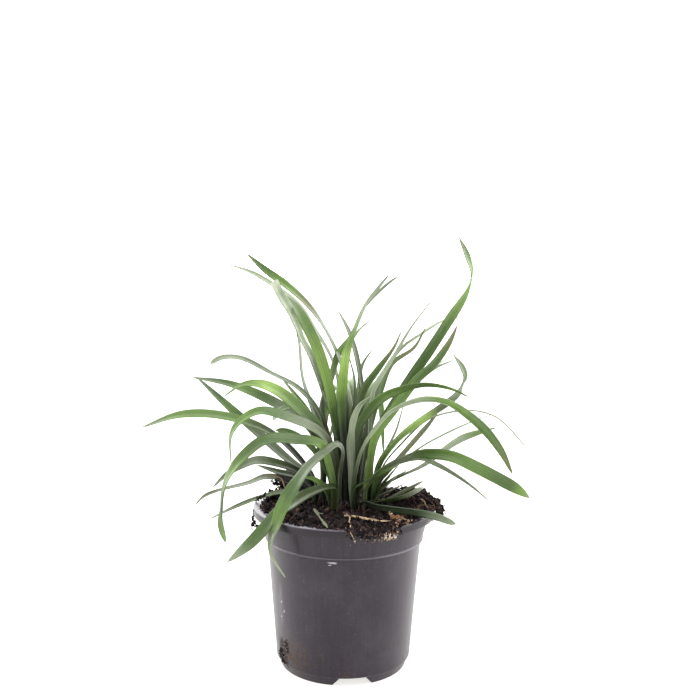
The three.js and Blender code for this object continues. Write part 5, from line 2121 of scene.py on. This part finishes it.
# The tall tuft in the middle.
CENTRE = Tuft("centre", (1, 9), [
    # Tall leaf to the upper left, turned edge-on half way.
    Leaf(5.2, [
        (0.5, 9, 128, 50), (0, 9.5, 153, 60), (-2, 10, 170.6, 72), (-5.6, 10, 181, 76),
        (-13.3, 10, 196.2, 78), (-23.9, 11, 209.9, 60), (-35.5, 11, 220.2, 38),
        (-47.1, 12, 228.3, 32), (-58, 12, 237.7, 45),
    ], [
        (0.35, T.SHADE), (0.5, T.DUSK), (0.65, T.SLATE), (0.74, T.OLIVE), (0.82, T.GREEN),
        (0.95, T.DEEP), (1, T.OLIVE),
    ], taper=0.85),
    # Slender tall leaf behind it.
    Leaf(4.4, [
        (-2, 13, 140, 66), (-6.8, 19, 171.6, 76), (-18.5, 27, 192.3, 76), (-27.9, 35, 205.5, 70),
        (-46.7, 44, 219.2, 56), (-59.3, 48, 225.9, 44), (-73.4, 52, 230.2, 55),
    ], [(0.4, T.DUSK), (0.6, T.SLATE), (0.8, T.MIST), (1, T.MIST)], taper=0.75),
    # Broad bright leaf.
    Leaf(6.5, [
        (-2, 7, 112, 28), (-4, 4, 130.4, 30), (-8.3, -1, 156.7, 32), (-11.7, -6, 171.7, 24),
        (-16.6, -11, 187.1, 12), (-23.3, -14, 201.3, 14), (-27.7, -14.5, 208.4, 22),
        (-34.1, -15, 215.6, 40),
    ], [
        (0.25, T.SHADE), (0.42, T.DEEP), (0.55, T.FRESH), (0.7, T.FRESH), (0.85, T.GREEN),
        (1, T.MIST),
    ], taper=0.84),
    # Grey-green leaf with a cut end that passes behind it and then in front.
    Leaf(6.4, [
        (-2, 11, 112, 48), (-4.1, 11, 134.7, 50), (-11.8, 12, 155.4, 52), (-15.5, 11, 166.5, 54),
        (-19.8, 7, 178, 62), (-24.8, 0, 188.9, 66), (-27.4, -8, 197.4, 64), (-30.4, -16, 205.7, 54),
        (-34.2, -22, 213.3, 34), (-39.1, -26, 223.2, 14),
    ], [(0.35, T.DUSK), (0.55, T.SLATE), (0.75, T.MIST), (0.95, T.MIST), (1, T.PALE)], tip=Tip.CUT),
    # Narrow leaf beside it.
    Leaf(4.6, [
        (-6, 14, 112, 50), (-12, 18, 128, 50), (-20.4, 23, 147.4, 58), (-26, 25, 163.5, 76),
        (-29, 34, 186.6, 78), (-33.6, 40, 200.2, 74), (-40.6, 45, 210.2, 74),
    ], [(0.35, T.DUSK), (0.6, T.SLATE), (1, T.DUSK)]),
    # Dark upright leaf.
    Leaf(4.5, [
        (5, 12, 118, 50), (9.9, 17, 153, 50), (9.3, 20, 160.3, 52), (6.1, 26, 177.6, 56),
        (1.2, 30, 192.2, 54), (-4.9, 34, 203.3, 60),
    ], [(0.5, T.SHADE), (0.75, T.DUSK), (1, T.SLATE)], taper=0.75),
    # Bright leaf that leans to the upper right.
    Leaf(6, [
        (0, 8, 112, 35), (-2.3, 1, 148.5, 25), (-1.9, -4, 160.9, 22), (0.3, -14, 183.8, 35),
        (4.4, -21, 196.9, 70), (10.7, -28, 212.2, 76), (16.4, -32, 219.9, 60),
        (23.1, -35, 228.4, 62),
    ], [
        (0.3, T.SHADE), (0.42, T.DEEP), (0.52, T.FRESH), (0.62, T.LIME), (0.7, T.GREEN),
        (0.85, T.MIST), (1, T.SLATE),
    ], taper=0.75),
    # Light leaf that crosses behind it.
    Leaf(5, [
        (-6, 13, 118, 45), (-14, 14, 146, 45), (-8.6, 13.5, 165.6, 45), (-4.6, 13, 179.6, 40),
        (2.5, 13, 190, 64), (9.8, 13, 206, 78), (20.8, 14, 218.3, 64), (30.6, 14, 226, 62),
    ], [(0.3, T.DUSK), (0.5, T.MIST), (0.62, T.GREEN), (0.75, T.SLATE), (1, T.SLATE)], taper=0.8),
    # Thin leaf end in front of the stems.
    Leaf(3.2, [(5, 8, 140, 60), (5.2, 5, 165, 64), (2, 3, 179, 70)], [(0.6, T.SHADE), (1, T.DUSK)]),
    # Dark olive leaf to the right.
    Leaf(5.6, [
        (4, 10, 112, 30), (5.9, 8, 135.4, 28), (9.7, 4, 158.7, 30), (17.6, 0, 171.5, 36),
        (27.3, -6, 186.2, 52), (31, -8, 194.9, 60),
    ], [(0.4, T.SHADE), (0.6, T.DUSK), (0.78, T.DEEP), (0.9, T.OLIVE), (1, T.OLIVE)]),
    # Withered thread among the stems.
    Leaf(1.5, [
        (-6, 8, 122, 60), (-10.8, 8, 138, 60), (-8.6, 8, 149.5, 60),
    ], [(1, T.BLUSH)], root=T.BROWN),
    # Young leaves in the shade of the middle.
    Leaf(4.8, [(-1, 12, 125, 20), (-1.5, 13, 158, 30)], [(0.6, T.SHADE), (1, T.DUSK)]),
    Leaf(4.8, [(3.5, 12.5, 120, 10), (4.5, 14, 150, 30)], [(0.6, T.SHADE), (1, T.DUSK)]),
])

# The tuft at the right.
RIGHT = Tuft("right", (15, 7.5), [
    # Tallest leaf, twisted edge-on near its end.
    Leaf(6.2, [
        (15, 8.5, 112, 25), (16, 9, 129.2, 20), (20.5, 8.5, 138.4, 20), (34.5, 5, 162.3, 18),
        (47.5, -2, 183.6, 14), (58.6, -9, 203.4, 20), (64.6, -14, 214.6, 50),
        (68.1, -18, 224.1, 84), (68.3, -20, 229.1, 66), (65.2, -23, 238.2, 46),
        (60.5, -25, 247.8, 50),
    ], [
        (0.2, T.DUSK), (0.4, T.DEEP), (0.65, T.DEEP), (0.78, T.GREEN), (0.88, T.GREEN),
        (0.96, T.DEEP), (1, T.OLIVE),
    ], taper=0.88),
    # Bright leaf beside it.
    Leaf(5.8, [
        (12, 5, 98, 40), (14, 3, 110.3, 20), (17.4, 2, 132.3, 18), (28.7, 0.5, 150.2, 18),
        (40.2, -4, 167.1, 26), (49.6, -10, 177.5, 34), (56.9, -14, 188.9, 40),
        (61.3, -18, 199.3, 50),
    ], [
        (0.12, T.LIME), (0.35, T.FRESH), (0.6, T.GREEN), (0.85, T.DEEP), (0.95, T.OLIVE),
        (1, T.BROWN),
    ], root=T.OLIVE, taper=0.8),
    # Yellow-green leaf that curls back at its end.
    Leaf(5.8, [
        (17.6, 4, 105, 30), (20.5, 0.5, 118.3, 40), (29.6, -2, 131.8, 45), (41.6, -6, 143.2, 42),
        (56.5, -9, 154.3, 35), (62.8, -11, 160.3, 45), (65.4, -11, 165.4, 80), (67.1, -11, 170, 60),
        (65.4, -11, 175.6, 42), (60.8, -11, 181.8, 50),
    ], [
        (0.2, T.DEEP), (0.4, T.GREEN), (0.58, T.LIME), (0.7, T.DUSK), (0.82, T.SLATE),
        (0.9, T.DEEP), (1, T.SLATE),
    ], taper=0.85),
    # Bluish leaf to the upper right.
    Leaf(4.8, [
        (14, 12, 120, 50), (15.8, 16, 157, 50), (19.3, 18, 163.6, 50), (28.8, 23, 178.1, 58),
        (38.5, 28, 193.9, 74), (51.2, 34, 209.9, 70),
    ], [(0.4, T.DUSK), (0.6, T.MIST), (0.8, T.SLATE), (1, T.SLATE)]),
    # Low leaf to the right and back.
    Leaf(5.4, [
        (16.8, 8.4, 98.5, 60), (28.6, 17, 103.8, 62), (37, 20, 107.2, 62), (47.9, 23, 112.1, 56),
        (61.2, 26, 121.6, 36), (71, 28, 127.3, 26), (82.6, 29, 131.2, 30), (91.8, 30, 133.4, 60),
    ], [(0.3, T.DUSK), (0.5, T.SLATE), (0.75, T.MIST), (0.9, T.GREEN), (1, T.SLATE)], taper=0.75),
    # Wide arch seen edge-on.
    Leaf(4.4, [
        (22, 11, 112, 80), (32, 13.5, 125, 82), (50, 17, 141, 82), (73.4, 20, 145.8, 82),
        (89.3, 22, 142, 82), (98.4, 23, 134.6, 82), (105.5, 24, 126.8, 82), (109.5, 25, 121.8, 82),
    ], [(0.4, T.DUSK), (0.7, T.SLATE), (1, T.MIST)]),
    # Dark straight leaf.
    Leaf(5, [
        (20, 9.8, 103.4, 50), (26.3, 12, 111.4, 48), (41.3, 15, 128.6, 45), (54.5, 17.5, 143.8, 58),
    ], [(0.4, T.DUSK), (0.7, T.OLIVE), (1, T.DUSK)], taper=0.8),
    # Thin upright leaf.
    Leaf(3.8, [
        (19, 9.5, 110, 66), (22.6, 10.5, 120, 68), (29.6, 12, 134, 70), (33.8, 12, 148.4, 74),
    ], [(0.5, T.SLATE), (1, T.SLATE)]),
    # Low shaded leaves over the soil heap.
    Leaf(3.6, [
        (21, 8, 100, 50), (29, 8.5, 107, 55), (37, 9, 111.5, 68),
    ], [(0.6, T.DUSK), (1, T.SLATE)]),
    Leaf(3.4, [
        (20.5, 6.5, 101, 55), (26, 5.5, 109, 58), (31, 5, 115, 70),
    ], [(0.6, T.DUSK), (1, T.SLATE)]),
    Leaf(2.6, [
        (18.4, 5.4, 97, 60), (23, 4.4, 102, 60), (30.3, 3, 109.3, 70),
    ], [(0.5, T.DUSK), (1, T.MIST)]),
    Leaf(2.6, [
        (18.8, 5, 95.5, 60), (26, 2.5, 100.4, 60), (34.4, 1, 105.2, 70),
    ], [(0.5, T.SLATE), (1, T.MIST)]),
])

# The tuft at the back.
BACK = Tuft("back", (6, 22), [
    # Leaf ends that show above the middle.
    Leaf(4, [
        (0, 25, 130, 40), (-1.2, 32, 163, 50), (1.5, 36, 180.5, 52), (6.7, 38, 190.3, 55),
        (14.7, 42, 197.4, 62),
    ], [(0.5, T.DUSK), (1, T.MIST)]),
    Leaf(4, [
        (7, 24, 130, 40), (8, 28, 158, 42), (9.9, 31, 170.9, 45), (15.9, 35, 180, 64),
    ], [(0.5, T.DUSK), (0.8, T.GREEN), (1, T.DUSK)]),
    # Pale far leaf with a drooping end.
    Leaf(4.4, [
        (12, 27, 130, 50), (20, 32, 160, 52), (32, 38, 179.2, 60), (45.8, 46, 188.6, 60),
        (59.8, 52, 196.4, 66), (70.2, 56, 198.3, 72), (80.2, 60, 194.6, 76),
    ], [(0.4, T.DUSK), (0.6, T.OLIVE), (0.75, T.MIST), (1, T.PALE)]),
    # Leaf to the upper right.
    Leaf(4.6, [
        (13, 24, 125, 40), (21, 27, 156.4, 36), (27.5, 32, 171.5, 34), (41.7, 39, 181.2, 40),
        (48.5, 42, 192.8, 62),
    ], [(0.4, T.DUSK), (0.7, T.DEEP), (0.85, T.OLIVE), (1, T.DUSK)]),
    # Two pale leaves to the right and back.
    Leaf(4, [
        (17, 30, 120, 60), (35, 42, 150, 66), (58, 54, 169, 66), (66, 58, 173.4, 68),
        (83.2, 65, 175.6, 78),
    ], [(0.4, T.MIST), (1, T.PALE)]),
    Leaf(4.8, [
        (15, 27, 118, 50), (30, 33, 146, 50), (52.6, 40, 167, 50), (66.6, 45, 172.8, 62),
    ], [(0.4, T.MIST), (1, T.SLATE)]),
    # Thin straight leaf, low to the right.
    Leaf(4.2, [
        (10, 22.5, 96.5, 68), (21.4, 24, 104.5, 70), (30, 27, 110, 70), (50.6, 32, 123.4, 70),
        (76.8, 37, 135.4, 72), (91, 39, 140, 78),
    ], [(0.4, T.SLATE), (1, T.MIST)]),
], fan=Fan())


# ---------- studio ----------


@dataclass
class Studio:
    """A plain pale floor, soft light from all round and above, and the camera.

    The camera's place is in millimetres from the axis, and its angles are in degrees. Front,
    behind, left and right are the strength of the light from there.
    """

    FLOOR_SIZE = 6.0
    FLOOR_COLOR = (0.40, 0.40, 0.395, 1)
    GLOW_COLOR = (1, 0.99, 0.95, 1)
    BEHIND = (0.0, 0.6)
    LEFT = (0.72, 0.95)
    RIGHT = (0.6, 0.95)
    BOX_SIZE = 0.9
    BOX_PLACE = Vector((-0.25, -0.35, 1.0))
    BOX_AIM = Vector((0, 0, 0.1))
    SIGHT = (0.05, 50)

    axis: Vector
    distance: float = 551.9
    height: float = 245.2
    aside: float = 2.4
    pitch: float = 6.39
    roll: float = 0.55
    lens: float = 50.0
    sensor: float = 36.0
    front: float = 1.0
    behind: float = 4.4
    left: float = 4.2
    right: float = 5.0
    top_light: float = 3.0
    floor_glow: float = 0.74

    def floor(self) -> None:
        """Lays the floor."""
        mesh = bmesh.new()
        bmesh.ops.create_grid(mesh, x_segments=1, y_segments=1, size=self.FLOOR_SIZE)
        data = bpy.data.meshes.new("floor")
        mesh.to_mesh(data)
        mesh.free()
        paper = Shading("floor_paper").finish(
            base_color=self.FLOOR_COLOR,
            emission_color=self.GLOW_COLOR,
            emission_strength=self.floor_glow,
            roughness=0.7,
            specular_ior_level=0.2,
        )
        data.materials.append(paper)
        floor = bpy.data.objects.new("floor", data)
        bpy.context.scene.collection.objects.link(floor)

    def surround(self) -> None:
        """Sets the white surround, which is brighter behind the object and at both sides."""
        world = bpy.data.worlds.new("surround")
        world.use_nodes = True
        n = Nodes(world.node_tree)
        x, y, _ = n.parts(n.coordinates("Generated"))
        strength = self.front + n.ease(y, *self.BEHIND) * self.behind
        strength = strength + n.ease(x * -1, *self.LEFT) * self.left
        strength = strength + n.ease(x, *self.RIGHT) * self.right
        n.feed(n.tree.nodes["Background"], {"Color": (1, 1, 1, 1), "Strength": strength})
        bpy.context.scene.world = world
        bpy.context.scene.view_settings.view_transform = "Standard"

    def soft_box(self) -> None:
        """Hangs the soft light above and a little to the left front."""
        lamp = bpy.data.lights.new("soft_box", "AREA")
        lamp.shape = "SQUARE"
        lamp.size = self.BOX_SIZE
        lamp.energy = self.top_light
        box = bpy.data.objects.new("soft_box", lamp)
        box.location = self.axis + self.BOX_PLACE
        aim = self.axis + self.BOX_AIM - box.location
        box.rotation_euler = aim.to_track_quat("-Z", "Y").to_euler()
        bpy.context.scene.collection.objects.link(box)

    def camera(self) -> None:
        """Sets the camera."""
        data = bpy.data.cameras.new("camera")
        data.lens = self.lens
        data.sensor_width = self.sensor
        data.clip_start, data.clip_end = self.SIGHT
        camera = bpy.data.objects.new("camera", data)
        spot = self.axis + Vector((self.aside, -self.distance, self.height)) * METRES
        tilt = Matrix.Rotation(math.radians(90 - self.pitch), 4, "X")
        spin = Matrix.Rotation(math.radians(self.roll), 4, "Z")
        camera.matrix_world = Matrix.Translation(spot) @ tilt @ spin
        bpy.context.scene.collection.objects.link(camera)
        bpy.context.scene.camera = camera

    def build(self) -> None:
        """Sets the whole studio."""
        self.floor()
        self.surround()
        self.soft_box()
        self.camera()


def main() -> None:
    """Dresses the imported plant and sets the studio."""
    logging.basicConfig(level=logging.INFO, format="%(message)s")
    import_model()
    low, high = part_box("pot")
    axis = Vector(((low.x + high.x) / 2, (low.y + high.y) / 2, 0))
    bench = Bench(axis)
    pot = NurseryPot(PotFinish())
    pot.build(bench)
    soil = SoilBed(CrumbFinish("potting_mix"), pot)
    soil.build(bench)
    dry = CrumbFinish("dry_fibre", scale=900, contrast=0.45, roughness=0.8, relief=0.0003)
    bark = CrumbFinish("bark_flake", scale=1100, contrast=0.6, roughness=0.85)
    LooseLitter(bench, soil, dry, bark).build()
    skin = LeafFinish().material()
    for tuft in (FRONT_LEFT, FRONT_RIGHT, LEFT, CENTRE, RIGHT, BACK):
        tuft.build(bench, skin)
    Studio(axis).build()
    bench.report()
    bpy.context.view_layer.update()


if __name__ == "__main__":
    main()
